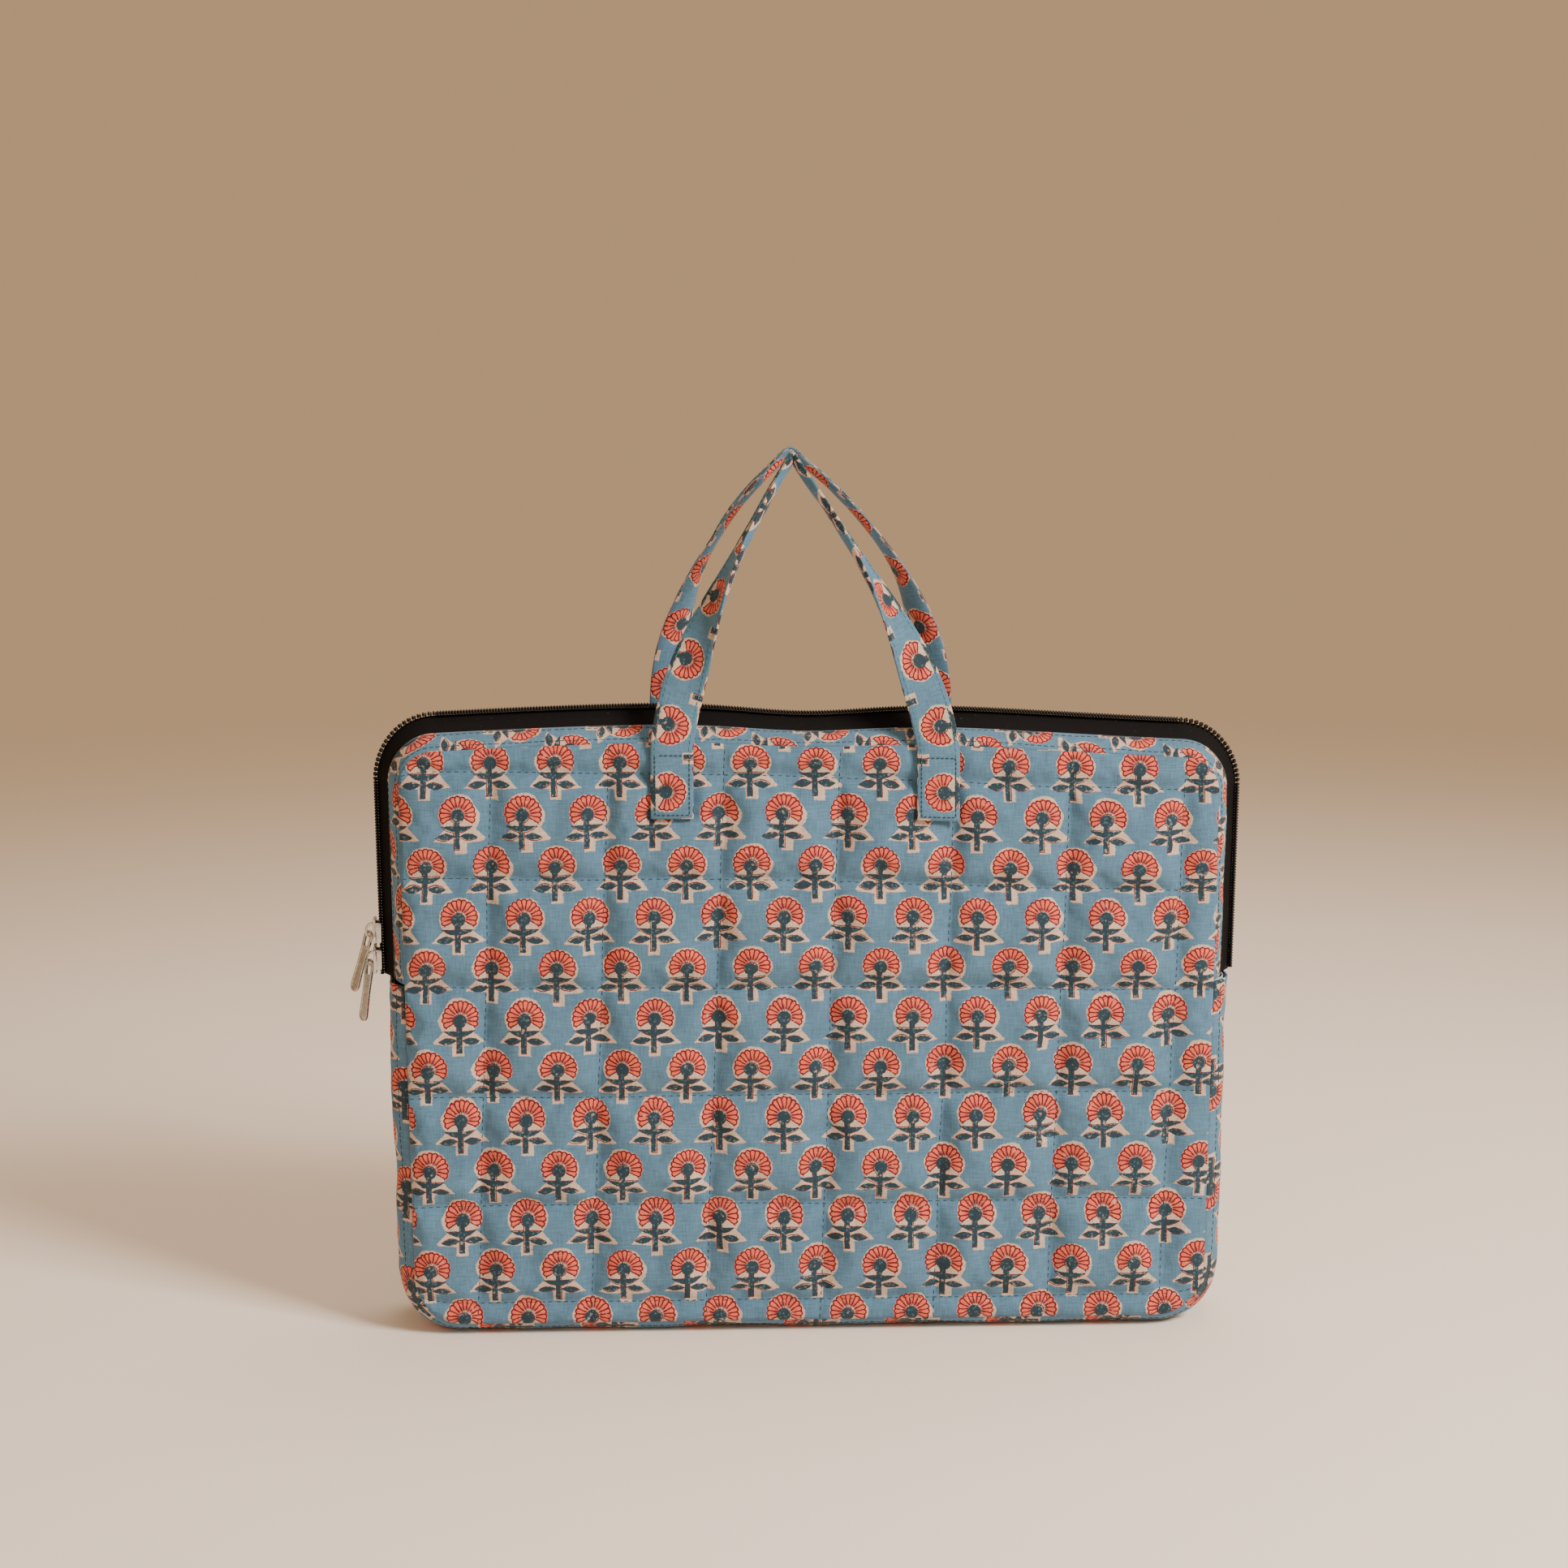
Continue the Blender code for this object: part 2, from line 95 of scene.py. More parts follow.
def smooth_step(low, high, value):
    share = min(1.0, max(0.0, (value - low) / (high - low)))
    return share * share * (3 - 2 * share)


def hump(value):
    """1 at nought, fading smoothly either way."""
    return 2.718 ** (-value ** 2)


def half_depth(z):
    """Distance from the zip's plane to a panel's sewn surface at height z."""
    if z < FOLD.z:
        share = (z - SEAM_BOTTOM_Z) / (FOLD.z - SEAM_BOTTOM_Z)
        return HALF_DEPTH_BOTTOM + (HALF_DEPTH_FOLD - HALF_DEPTH_BOTTOM) * share
    share = (z - FOLD.z) / (SEAM_TOP_Z - FOLD.z)
    return HALF_DEPTH_FOLD + (HALF_DEPTH_TOP - HALF_DEPTH_FOLD) * share


def half_width(z):
    """Half width of the seam along the sides."""
    share = (z - SEAM_BOTTOM_Z) / (SEAM_CORNER_Z - SEAM_BOTTOM_Z)
    return SEAM_HALF_BOTTOM + (SEAM_HALF_TOP - SEAM_HALF_BOTTOM) * share


def top_seam(x):
    """Height of the top seam at x, ignoring its corners."""
    run = SEAM_HALF_TOP - TOP_RADIUS
    return SEAM_CORNER_Z + SEAM_CROWN * (1 - min(1.0, abs(x) / run) ** 2)


def edge_distance(x, z):
    """How far a point of a panel is from its nearest edge."""
    return min(half_width(z) - abs(x), z - SEAM_BOTTOM_Z, top_seam(x) - z)


def evenly(path, step):
    """The path's points and normals again, about step apart."""
    points = np.array(path, float)
    lengths = np.concatenate([[0], np.cumsum(np.linalg.norm(np.diff(points[:, :2], axis=0), axis=1))])
    at = np.linspace(0, lengths[-1], max(2, ceil(lengths[-1] / step) + 1))
    return np.stack([np.interp(at, lengths, points[:, k]) for k in range(4)], axis=1), at


def bottom_path(top_z, step):
    """Seam from top_z on the right, round the base, to top_z on the left: x, z and the normal."""
    centre_x, centre_z = SEAM_HALF_BOTTOM - BOTTOM_RADIUS, SEAM_BOTTOM_Z + BOTTOM_RADIUS
    right = [(half_width(z), z, 1.0, 0.0) for z in np.linspace(top_z, centre_z, 20)]
    for turn in np.linspace(0, pi / 2, 16)[1:]:
        right.append((centre_x + BOTTOM_RADIUS * cos(turn), centre_z - BOTTOM_RADIUS * sin(turn),
                      cos(turn), -sin(turn)))
    return evenly(right + [(-x, z, -nx, nz) for x, z, nx, nz in reversed(right)], step)


def top_path(low_z, step):
    """Seam from low_z on the left, over the crowned top, down to low_z on the right."""
    centre_x, centre_z = SEAM_HALF_TOP - TOP_RADIUS, SEAM_CORNER_Z - TOP_RADIUS
    left = [(-half_width(z), z, -1.0, 0.0) for z in np.linspace(low_z, centre_z, 16)]
    for turn in np.linspace(0, pi / 2, 16)[1:]:
        left.append((-centre_x - TOP_RADIUS * cos(turn), centre_z + TOP_RADIUS * sin(turn),
                     -cos(turn), sin(turn)))
    crown = [(x, top_seam(x), 0.0, 1.0) for x in np.linspace(-centre_x, centre_x, 60)[1:-1]]
    return evenly(left + crown + [(-x, z, -nx, nz) for x, z, nx, nz in reversed(left)], step)


# ---- materials --------------------------------------------------------------------------------------
def linear(code):
    """Linear RGBA of an sRGB hex colour."""
    parts = [int(code[i:i + 2], 16) / 255 for i in (0, 2, 4)]
    return (*[c / 12.92 if c <= 0.04045 else ((c + 0.055) / 1.055) ** 2.4 for c in parts], 1.0)


def node(tree, kind, inputs=(), output=0, **settings):
    """Adds a node with its settings, values and links, and gives one of its outputs."""
    made = tree.nodes.new("ShaderNode" + kind)
    for key, value in settings.items():
        setattr(made, key, value)
    for key, value in (inputs.items() if isinstance(inputs, dict) else enumerate(inputs)):
        if isinstance(value, bpy.types.NodeSocket):
            tree.links.new(value, made.inputs[key])
        elif value is not None:
            made.inputs[key].default_value = value
    return made.outputs[output]


def new_material(name, roughness, metallic=0.0):
    """An empty Principled material: the material, its tree and its shader."""
    made = bpy.data.materials.new(name)
    made.use_nodes = True
    shader = made.node_tree.nodes["Principled BSDF"]
    shader.inputs["Roughness"].default_value = roughness
    shader.inputs["Metallic"].default_value = metallic
    return made, made.node_tree, shader


# The block print, in millimetres of cloth.
PRINT_ACROSS = 28.8            # from one motif to the next in a row
PRINT_UP = 22.9                # from one row to the next; every other row is half a step along
HEAD_RADIUS = 8.0
PETAL_STEP = radians(18.6)
PETAL_TIP = 1.15               # radius of a petal's round tip
HEAD_Y = 7.0                   # the flower's middle, above the middle of its cell


def petal_field(tree, place):
    """Signed distance to the fan of petals' edges, distance from the flower's middle, and angle from up."""
    x = node(tree, "SeparateXYZ", (place,), 0)
    y = node(tree, "SeparateXYZ", (place,), 1)
    radius = node(tree, "VectorMath", (place,), 1, operation="LENGTH")
    angle = node(tree, "Math", (x, y), operation="ARCTAN2")
    turned = node(tree, "Math", (angle, PETAL_STEP), operation="DIVIDE")
    index = node(tree, "Math", (turned,), operation="ROUND")
    inside = node(tree, "Math", (node(tree, "Math", (turned, index), operation="SUBTRACT"), PETAL_STEP),
                  operation="MULTIPLY")
    along = node(tree, "Math", (radius, node(tree, "Math", (inside,), operation="COSINE")),
                 operation="MULTIPLY")
    beside = node(tree, "Math", (node(tree, "Math", (radius, node(tree, "Math", (inside,),
                  operation="SINE")), operation="MULTIPLY"),), operation="ABSOLUTE")
    past_tip = node(tree, "Math", (along, HEAD_RADIUS - PETAL_TIP), operation="SUBTRACT")
    tip_square = node(tree, "Math", (past_tip, past_tip, node(tree, "Math", (beside, beside),
                      operation="MULTIPLY")), operation="MULTIPLY_ADD")
    tip = node(tree, "Math", (node(tree, "Math", (tip_square,), operation="SQRT"), PETAL_TIP),
               operation="SUBTRACT")
    side = node(tree, "Math", (along, -tan(PETAL_STEP / 2), beside), operation="MULTIPLY_ADD")
    beyond = node(tree, "Math", (past_tip, 0.0), operation="GREATER_THAN")
    edge = node(tree, "Mix", (beyond, None, side, tip), data_type="FLOAT")
    return edge, radius, node(tree, "Math", (angle,), operation="ABSOLUTE")


def plant_field(tree, place):
    """Signed distance to the stem, the flower's middle and both pairs of leaves."""
    x = node(tree, "SeparateXYZ", (place,), 0)
    y = node(tree, "SeparateXYZ", (place,), 1)
    from_stem = node(tree, "Math", (node(tree, "Math", (x, 0.7), operation="ADD"),), operation="ABSOLUTE")
    # the stem, from the flower's middle down to a square end
    stem = node(tree, "Math", (from_stem, 1.1), operation="SUBTRACT")
    for limit, sign in ((-15.6, -1.0), (2.0, 1.0)):
        end = node(tree, "Math", (y, sign, limit), operation="MULTIPLY_ADD")
        stem = node(tree, "Math", (stem, end), operation="MAXIMUM")
    # the upper leaves, one boat shape with a straight top
    scaled = node(tree, "Math", (from_stem, 6.8), operation="DIVIDE")
    keel = node(tree, "Math", (node(tree, "Math", (scaled, scaled), operation="MULTIPLY"), 2.6, -8.1),
                operation="MULTIPLY_ADD")
    boat = node(tree, "Math", (node(tree, "Math", (keel, y), operation="SUBTRACT"),
                node(tree, "Math", (y, 5.5), operation="ADD")), operation="MAXIMUM")
    # the lower leaves, one each side, drooping to their tips
    out = node(tree, "Math", (node(tree, "Math", (from_stem, 5.2), operation="SUBTRACT"), 3.9),
               operation="DIVIDE")
    swell = node(tree, "Math", (node(tree, "Math", (out, out), operation="MULTIPLY"), -1.45, 1.45),
                 operation="MULTIPLY_ADD")
    droop = node(tree, "Math", (out, 0.35, 10.2), operation="MULTIPLY_ADD")
    away = node(tree, "Math", (node(tree, "Math", (y, droop), operation="ADD"),), operation="ABSOLUTE")
    leaf = node(tree, "Math", (away, swell), operation="SUBTRACT")
    # the flower's middle
    middle = node(tree, "VectorMath", (place, (0.4, 0.9, 0.0)), operation="ADD")
    button = node(tree, "Math", (node(tree, "VectorMath", (middle,), 1, operation="LENGTH"), 2.9),
                  operation="SUBTRACT")
    for shape in (boat, leaf, button):
        stem = node(tree, "Math", (stem, shape), operation="MINIMUM")
    return stem


def halo_field(tree, place):
    """Signed distance to the undyed ground round a motif: a round head, a pointed skirt and a square foot."""
    x = node(tree, "SeparateXYZ", (place,), 0)
    y = node(tree, "SeparateXYZ", (place,), 1)
    wide = node(tree, "Math", (x,), operation="ABSOLUTE")
    head = node(tree, "Math", (node(tree, "VectorMath", (place,), 1, operation="LENGTH"), 8.75),
                operation="SUBTRACT")
    lift = node(tree, "Math", (node(tree, "Math", (y, 11.4), operation="ADD"), 0.0), operation="MAXIMUM")
    slope = node(tree, "Math", (node(tree, "Math", (lift, 0.95), operation="MULTIPLY"), wide),
                 operation="ADD")
    skirt = node(tree, "Math", (slope, 11.4), operation="SUBTRACT")
    hem = node(tree, "Math", (node(tree, "Math", (wide, 0.09, -12.5), operation="MULTIPLY_ADD"), y),
               operation="SUBTRACT")
    waist = node(tree, "Math", (y, 5.0), operation="ADD")
    for limit in (hem, waist):
        skirt = node(tree, "Math", (skirt, limit), operation="MAXIMUM")
    foot = node(tree, "Math", (wide, 2.5), operation="SUBTRACT")
    for limit, sign in ((-16.9, -1.0), (11.0, 1.0)):
        end = node(tree, "Math", (y, sign, limit), operation="MULTIPLY_ADD")
        foot = node(tree, "Math", (foot, end), operation="MAXIMUM")
    for shape in (skirt, foot):
        head = node(tree, "Math", (head, shape), operation="MINIMUM")
    return head


def mask(tree, value, solid, clear):
    """1 where value is at solid, 0 where it is at clear, with a soft edge between."""
    return node(tree, "MapRange", {0: value, 1: solid, 2: clear, 3: 1.0, 4: 0.0},
                interpolation_type="SMOOTHSTEP")


def cotton_weave(tree, shader, place, colour):
    """Plain weave with slubs over a colour, wired to the shader with its bump.

    The yarns are 0.35 mm apart, too fine to show, so they are drawn at twice that.
    """
    grain = node(tree, "TexNoise", {"Vector": place, "Scale": 2.2, "Detail": 2.0})
    heights = [grain]
    for stretch in ((1.5, 0.16, 1.0), (0.16, 1.5, 1.0)):
        yarn_place = node(tree, "VectorMath", (place, stretch), operation="MULTIPLY")
        heights.append(node(tree, "TexNoise", {"Vector": yarn_place, "Scale": 1.0, "Detail": 1.5}))
    slubs = node(tree, "Math", (heights[1], heights[2]), operation="ADD")
    slubs = node(tree, "Math", (slubs, grain), operation="ADD")
    cloudy = node(tree, "TexNoise", {"Vector": place, "Scale": 0.045, "Detail": 3.0})
    shade = node(tree, "MapRange", {0: slubs, 1: 1.05, 2: 1.95, 3: 0.72, 4: 1.28})
    shade = node(tree, "Math", (shade, node(tree, "MapRange", {0: cloudy, 1: 0.3, 2: 0.7, 3: 0.9, 4: 1.1})),
                 operation="MULTIPLY")
    tinted = node(tree, "VectorMath", {0: colour, "Scale": shade}, operation="SCALE")
    tree.links.new(tinted, shader.inputs["Base Color"])
    bump = node(tree, "Bump", {"Strength": 0.35, "Distance": 0.12 * MM, "Height": slubs})
    tree.links.new(bump, shader.inputs["Normal"])


INDIGO, UNDYED = "50758F", "BFA998"
CORAL, CORAL_THIN = "E06C54", "D05A46"
MADDER, TEAL, TEAL_THIN = "5E0E1C", "233843", "405A66"


def block_printed_cotton():
    """Quilting cotton, resist-printed and block-printed by hand: an indigo ground kept off undyed
    halos, coral petals, madder-red outlines and dark teal stems, each block a little out of register.
    Matt and dry to the eye, with slubs in both directions of the plain weave."""
    made, tree, shader = new_material("block_printed_cotton", 0.86)
    cloth = node(tree, "UVMap", uv_map="Cloth")
    wander = node(tree, "TexNoise", {"Vector": cloth, "Scale": 0.55, "Detail": 2.0}, "Color")
    wander = node(tree, "VectorMath", (wander, (0.5, 0.5, 0.5)), operation="SUBTRACT")
    place = node(tree, "VectorMath", (wander, (0.75, 0.75, 0.0), cloth), operation="MULTIPLY_ADD")
    cell = (PRINT_ACROSS, 2 * PRINT_UP, 1.0)
    found = []
    for shift in ((0.0, 0.0, 0.0), (PRINT_ACROSS / 2, PRINT_UP, 0.0)):
        moved = node(tree, "VectorMath", (place, shift), operation="SUBTRACT")
        index = node(tree, "VectorMath", (moved, cell), operation="DIVIDE")
        index = node(tree, "VectorMath", (index, (0.5, 0.5, 0.0)), operation="ADD")
        index = node(tree, "VectorMath", (index,), operation="FLOOR")
        corner = node(tree, "VectorMath", (index, cell), operation="MULTIPLY")
        local = node(tree, "VectorMath", (moved, corner), operation="SUBTRACT")
        local = node(tree, "VectorMath", (local, (1.0, 1.0, 0.0)), operation="MULTIPLY")
        share = node(tree, "VectorMath", (local, (2 / PRINT_ACROSS, 1 / PRINT_UP, 0.0)),
                     operation="MULTIPLY")
        share = node(tree, "VectorMath", (share,), operation="ABSOLUTE")
        reach = node(tree, "VectorMath", (share, (1.0, 1.0, 0.0)), 1, operation="DOT_PRODUCT")
        name = node(tree, "VectorMath", (index, (shift[0], shift[1], 0.0)), operation="ADD")
        found.append((local, name, reach))
    nearer = node(tree, "Math", (found[1][2], found[0][2]), operation="LESS_THAN")
    local = node(tree, "Mix", {0: nearer, 4: found[0][0], 5: found[1][0]}, 1, data_type="VECTOR")
    name = node(tree, "Mix", {0: nearer, 4: found[0][1], 5: found[1][1]}, 1, data_type="VECTOR")
    middle = node(tree, "VectorMath", (local, (0.0, HEAD_Y, 0.0)), operation="SUBTRACT")

    # each colour's block lands a little off: by drifts across the cloth, and by chance at each motif
    drift = node(tree, "TexNoise", {"Vector": cloth, "Scale": 0.011, "Detail": 1.0}, "Color")
    drift = node(tree, "VectorMath", (drift, (0.5, 0.5, 0.5)), operation="SUBTRACT")
    chance = node(tree, "TexWhiteNoise", (name,), "Color")
    chance = node(tree, "VectorMath", (chance, (0.5, 0.5, 0.5)), operation="SUBTRACT")
    halo_shift = node(tree, "VectorMath", (drift, (6.0, 4.0, 0.0)), operation="MULTIPLY")
    halo_shift = node(tree, "VectorMath", (chance, (0.8, 0.8, 0.0), halo_shift), operation="MULTIPLY_ADD")
    halo_place = node(tree, "VectorMath", (middle, halo_shift), operation="SUBTRACT")
    fill_place = node(tree, "VectorMath", (chance, (0.55, -0.5, 0.0), middle), operation="MULTIPLY_ADD")
    swapped = node(tree, "VectorMath", (chance, (0.0, 0.0, 1.0)), operation="CROSS_PRODUCT")
    teal_place = node(tree, "VectorMath", (swapped, (0.9, 0.9, 0.0), middle), operation="MULTIPLY_ADD")

    ragged = node(tree, "TexNoise", {"Vector": cloth, "Scale": 1.5, "Detail": 3.0})
    rough_edge = node(tree, "MapRange", {0: ragged, 1: 0.25, 2: 0.75, 3: -0.3, 4: 0.3})
    halo = node(tree, "Math", (halo_field(tree, halo_place), rough_edge), operation="ADD")
    halo = mask(tree, halo, -0.15, 0.3)
    fill, radius, angle = petal_field(tree, fill_place)
    fill = node(tree, "Math", (fill, rough_edge), operation="ADD")
    fan = mask(tree, angle, 2.08, 2.14)
    petals = node(tree, "Math", (mask(tree, fill, 0.25, 0.5), fan), operation="MULTIPLY")
    hollow = node(tree, "Math", (radius, rough_edge), operation="ADD")
    petals = node(tree, "Math", (petals, mask(tree, hollow, 3.2, 2.6)), operation="MULTIPLY")
    line, radius, angle = petal_field(tree, middle)
    line = node(tree, "Math", (node(tree, "Math", (line,), operation="ABSOLUTE"),
                node(tree, "Math", (rough_edge, 0.35), operation="MULTIPLY")), operation="ADD")
    fan = mask(tree, angle, 2.16, 2.2)
    outlines = node(tree, "Math", (mask(tree, line, 0.2, 0.42), fan), operation="MULTIPLY")
    outlines = node(tree, "Math", (outlines, mask(tree, radius, 3.5, 2.9)), operation="MULTIPLY")
    plant_edge = node(tree, "Math", (plant_field(tree, middle),), operation="ABSOLUTE")
    plant_edge = mask(tree, plant_edge, 0.1, 0.32)
    outlines = node(tree, "Math", (outlines, plant_edge), operation="MAXIMUM")
    plant = node(tree, "Math", (plant_field(tree, teal_place), rough_edge), operation="ADD")
    plant = mask(tree, plant, -0.1, 0.15)
    # dry strokes of the teal block between the flower's middle and its upper petals
    spin = node(tree, "VectorMath", (middle,), operation="NORMALIZE")
    strokes = node(tree, "TexNoise", {"Vector": spin, "Scale": 7.0, "Detail": 2.0})
    strokes = mask(tree, strokes, 0.6, 0.44)
    strokes = node(tree, "Math", (strokes, mask(tree, radius, 3.4, 5.6)), operation="MULTIPLY")
    strokes = node(tree, "Math", (strokes, node(tree, "Math", (fan, 0.9), operation="MULTIPLY")),
                   operation="MULTIPLY")
    # worn and starved places, where a block left less colour
    starved = node(tree, "TexNoise", {"Vector": cloth, "Scale": 0.35, "Detail": 4.0})
    inked = mask(tree, starved, 0.62, 0.7)
    kept = node(tree, "MapRange", {0: inked, 3: 0.45, 4: 1.0})

    colour = node(tree, "Mix", {0: halo, 6: linear(INDIGO), 7: linear(UNDYED)}, 2, data_type="RGBA")
    patchy = node(tree, "MapRange", {0: ragged, 1: 0.3, 2: 0.7, 3: 0.0, 4: 1.0})
    coral = node(tree, "Mix", {0: patchy, 6: linear(CORAL), 7: linear(CORAL_THIN)}, 2, data_type="RGBA")
    dots = node(tree, "TexVoronoi", {"Vector": cloth, "Scale": 0.62}, "Distance")
    seeds = mask(tree, dots, 0.22, 0.36)
    teal = node(tree, "Mix", {0: seeds, 6: linear(TEAL), 7: linear(TEAL_THIN)}, 2, data_type="RGBA")
    for layer, paint in ((petals, coral), (strokes, linear(TEAL)), (outlines, linear(MADDER)),
                         (plant, teal)):
        amount = node(tree, "Math", (layer, kept), operation="MULTIPLY")
        colour = node(tree, "Mix", {0: amount, 6: colour, 7: paint}, 2, data_type="RGBA")
    cotton_weave(tree, shader, cloth, colour)
    shader.inputs["Sheen Weight"].default_value = 0.12
    shader.inputs["Sheen Roughness"].default_value = 0.5
    shader.inputs["Specular IOR Level"].default_value = 0.25
    return made


def plain_cotton(name, code, roughness=0.9):
    """Plain-woven dyed cotton: matt, with slubs that show as faint lines both ways."""
    made, tree, shader = new_material(name, roughness)
    cloth = node(tree, "UVMap", uv_map="Cloth")
    flat = node(tree, "RGB")
    flat.default_value = linear(code)
    cotton_weave(tree, shader, cloth, flat)
    return made


def needled_fleece():
    """Polyester wadding, needled into a soft matt sheet: tangled fibres with no direction."""
    made, tree, shader = new_material("needled_fleece", 0.95)
    cloth = node(tree, "UVMap", uv_map="Cloth")
    fibres = node(tree, "TexNoise", {"Vector": cloth, "Scale": 0.9, "Detail": 5.0, "Distortion": 1.5})
    colour = node(tree, "Mix", {0: fibres, 6: linear("CFCABF"), 7: linear("F0ECE2")}, 2, data_type="RGBA")
    tree.links.new(colour, shader.inputs["Base Color"])
    bump = node(tree, "Bump", {"Strength": 0.6, "Distance": 0.4 * MM, "Height": fibres})
    tree.links.new(bump, shader.inputs["Normal"])
    return made


def woven_zip_tape():
    """Black polyester zip tape: a tight herringbone weave, slightly shiny along its ribs."""
    made, tree, shader = new_material("woven_zip_tape", 0.8)
    cloth = node(tree, "UVMap", uv_map="Cloth")
    ribs = node(tree, "TexWave", {"Vector": cloth, "Scale": 0.42, "Distortion": 0.6, "Detail": 1.0},
                1, wave_type="BANDS", bands_direction="X")
    grain = node(tree, "TexNoise", {"Vector": cloth, "Scale": 1.6, "Detail": 2.0})
    lint = mask(tree, node(tree, "TexNoise", {"Vector": cloth, "Scale": 0.5, "Detail": 6.0}), 0.72, 0.66)
    shade = node(tree, "Mix", {0: grain, 6: linear("060505"), 7: linear("121010")}, 2, data_type="RGBA")
    shade = node(tree, "Mix", {0: lint, 6: shade, 7: linear("2C2926")}, 2, data_type="RGBA")
    tree.links.new(shade, shader.inputs["Base Color"])
    height = node(tree, "Math", (ribs, grain), operation="ADD")
    bump = node(tree, "Bump", {"Strength": 0.5, "Distance": 0.15 * MM, "Height": height})
    tree.links.new(bump, shader.inputs["Normal"])
    shader.inputs["Specular IOR Level"].default_value = 0.15
    return made


def nylon_coil():
    """Drawn nylon filament, wound into the zip's coil: black, smooth and a little glossy."""
    made, tree, shader = new_material("nylon_coil", 0.5)
    place = node(tree, "TexCoord", output="Object")
    dust = node(tree, "TexNoise", {"Vector": place, "Scale": 900.0, "Detail": 2.0})
    shade = node(tree, "Mix", {0: dust, 6: linear("0B0A0B"), 7: linear("1E1B1D")}, 2, data_type="RGBA")
    tree.links.new(shade, shader.inputs["Base Color"])
    rough = node(tree, "MapRange", {0: dust, 1: 0.3, 2: 0.7, 3: 0.4, 4: 0.6})
    tree.links.new(rough, shader.inputs["Roughness"])
    shader.inputs["Specular IOR Level"].default_value = 0.3
    return made


def nickel_plate():
    """Zinc alloy, die-cast, tumbled and nickel-plated: bright and grey, with fine handling marks."""
    made, tree, shader = new_material("nickel_plate", 0.2, 1.0)
    place = node(tree, "TexCoord", output="Object")
    marks = node(tree, "TexNoise", {"Vector": place, "Scale": 420.0, "Detail": 6.0, "Distortion": 0.8})
    shade = node(tree, "Mix", {0: marks, 6: linear("A9A7A4"), 7: linear("EDEBE8")}, 2, data_type="RGBA")
    tree.links.new(shade, shader.inputs["Base Color"])
    rough = node(tree, "MapRange", {0: marks, 1: 0.3, 2: 0.75, 3: 0.16, 4: 0.38})
    tree.links.new(rough, shader.inputs["Roughness"])
    bump = node(tree, "Bump", {"Strength": 0.15, "Distance": 0.05 * MM, "Height": marks})
    tree.links.new(bump, shader.inputs["Normal"])
    return made


def sewing_thread(name, code):
    """Spun polyester thread: dull, with the twist of its plies showing as faint bands."""
    made, tree, shader = new_material(name, 0.7)
    place = node(tree, "TexCoord", output="Object")
    plies = node(tree, "TexNoise", {"Vector": place, "Scale": 1500.0, "Detail": 2.0})
    shade = node(tree, "Mix", {0: plies, 6: linear(code), 7: linear("1B2C33")}, 2, data_type="RGBA")
    tree.links.new(shade, shader.inputs["Base Color"])
    return made


PRINT = block_printed_cotton()
LINING = plain_cotton("lining_cotton", "9FB3BA")
BINDING = plain_cotton("binding_cotton", "8CA3AD")
FLEECE = needled_fleece()
TAPE = woven_zip_tape()
COIL = nylon_coil()
NICKEL = nickel_plate()
THREAD = sewing_thread("teal_thread", "22404A")
TURQUOISE = sewing_thread("turquoise_thread", "3FA6A6")


# ---- mesh helpers -----------------------------------------------------------------------------------
def piece(name, verts, faces, material, loops=None):
    """A new object of these faces, with the cloth's millimetres at each face corner."""
    mesh = bpy.data.meshes.new(name)
    mesh.from_pydata([tuple(v) for v in verts], [], [tuple(f) for f in faces])
    if loops is not None:
        mesh.uv_layers.new(name="Cloth").data.foreach_set("uv", np.array(loops, np.float32).ravel())
    mesh.materials.append(material)
    mesh.shade_smooth()
    mesh.validate()
    made = bpy.data.objects.new(name, mesh)
    bpy.context.scene.collection.objects.link(made)
    return made


def grid_piece(name, points, cloth, material, wrap=False, flip=False):
    """A surface through rows of points; wrap joins the last column to the first."""
    points, cloth = np.array(points, float), np.array(cloth, float)
    rows, columns = points.shape[:2]
    faces, loops = [], []
    for i in range(rows - 1):
        for j in range(columns if wrap else columns - 1):
            k = (j + 1) % columns
            corners = [(i, j, j), (i, k, j + 1), (i + 1, k, j + 1), (i + 1, j, j)]
            if flip:
                corners.reverse()
            faces.append([r * columns + c for r, c, _ in corners])
            loops.extend(cloth[r][u] for r, _, u in corners)
    return piece(name, points.reshape(-1, 3), faces, material, loops)


def shell(made, thickness, offset=-1.0):
    """Gives a sheet its thickness."""
    solid = made.modifiers.new("thickness", "SOLIDIFY")
    solid.thickness = thickness
    solid.offset = offset
    solid.use_rim = True
    return made


def dress(made, slot, *nodes):
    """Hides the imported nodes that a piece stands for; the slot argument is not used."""
    if nodes:
        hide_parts(*nodes)
    return made


def beads(name, places, material):
    """Small rounded pegs, one for each (centre, half-length, half-width and half-height vectors)."""
    rings = ((-1.0, 0.5), (-0.72, 1.0), (0.72, 1.0), (1.0, 0.5))
    turns = [(cos(a), sin(a)) for a in np.linspace(0, 2 * pi, 7)[:-1]]
    shape = np.array([(t, c * r, s * r) for t, r in rings for c, s in turns])
    faces = [[k * 6 + i, k * 6 + (i + 1) % 6, k * 6 + 6 + (i + 1) % 6, k * 6 + 6 + i]
             for k in range(3) for i in range(6)]
    faces += [[5, 4, 3, 2, 1, 0], [18, 19, 20, 21, 22, 23]]
    verts, all_faces = [], []
    for centre, long_way, wide, high in places:
        start = len(verts)
        frame_of = np.array([long_way, wide, high], float)
        verts.extend(np.array(centre, float) + shape @ frame_of)
        all_faces.extend([start + v for v in face] for face in faces)
    return piece(name, verts, all_faces, material)


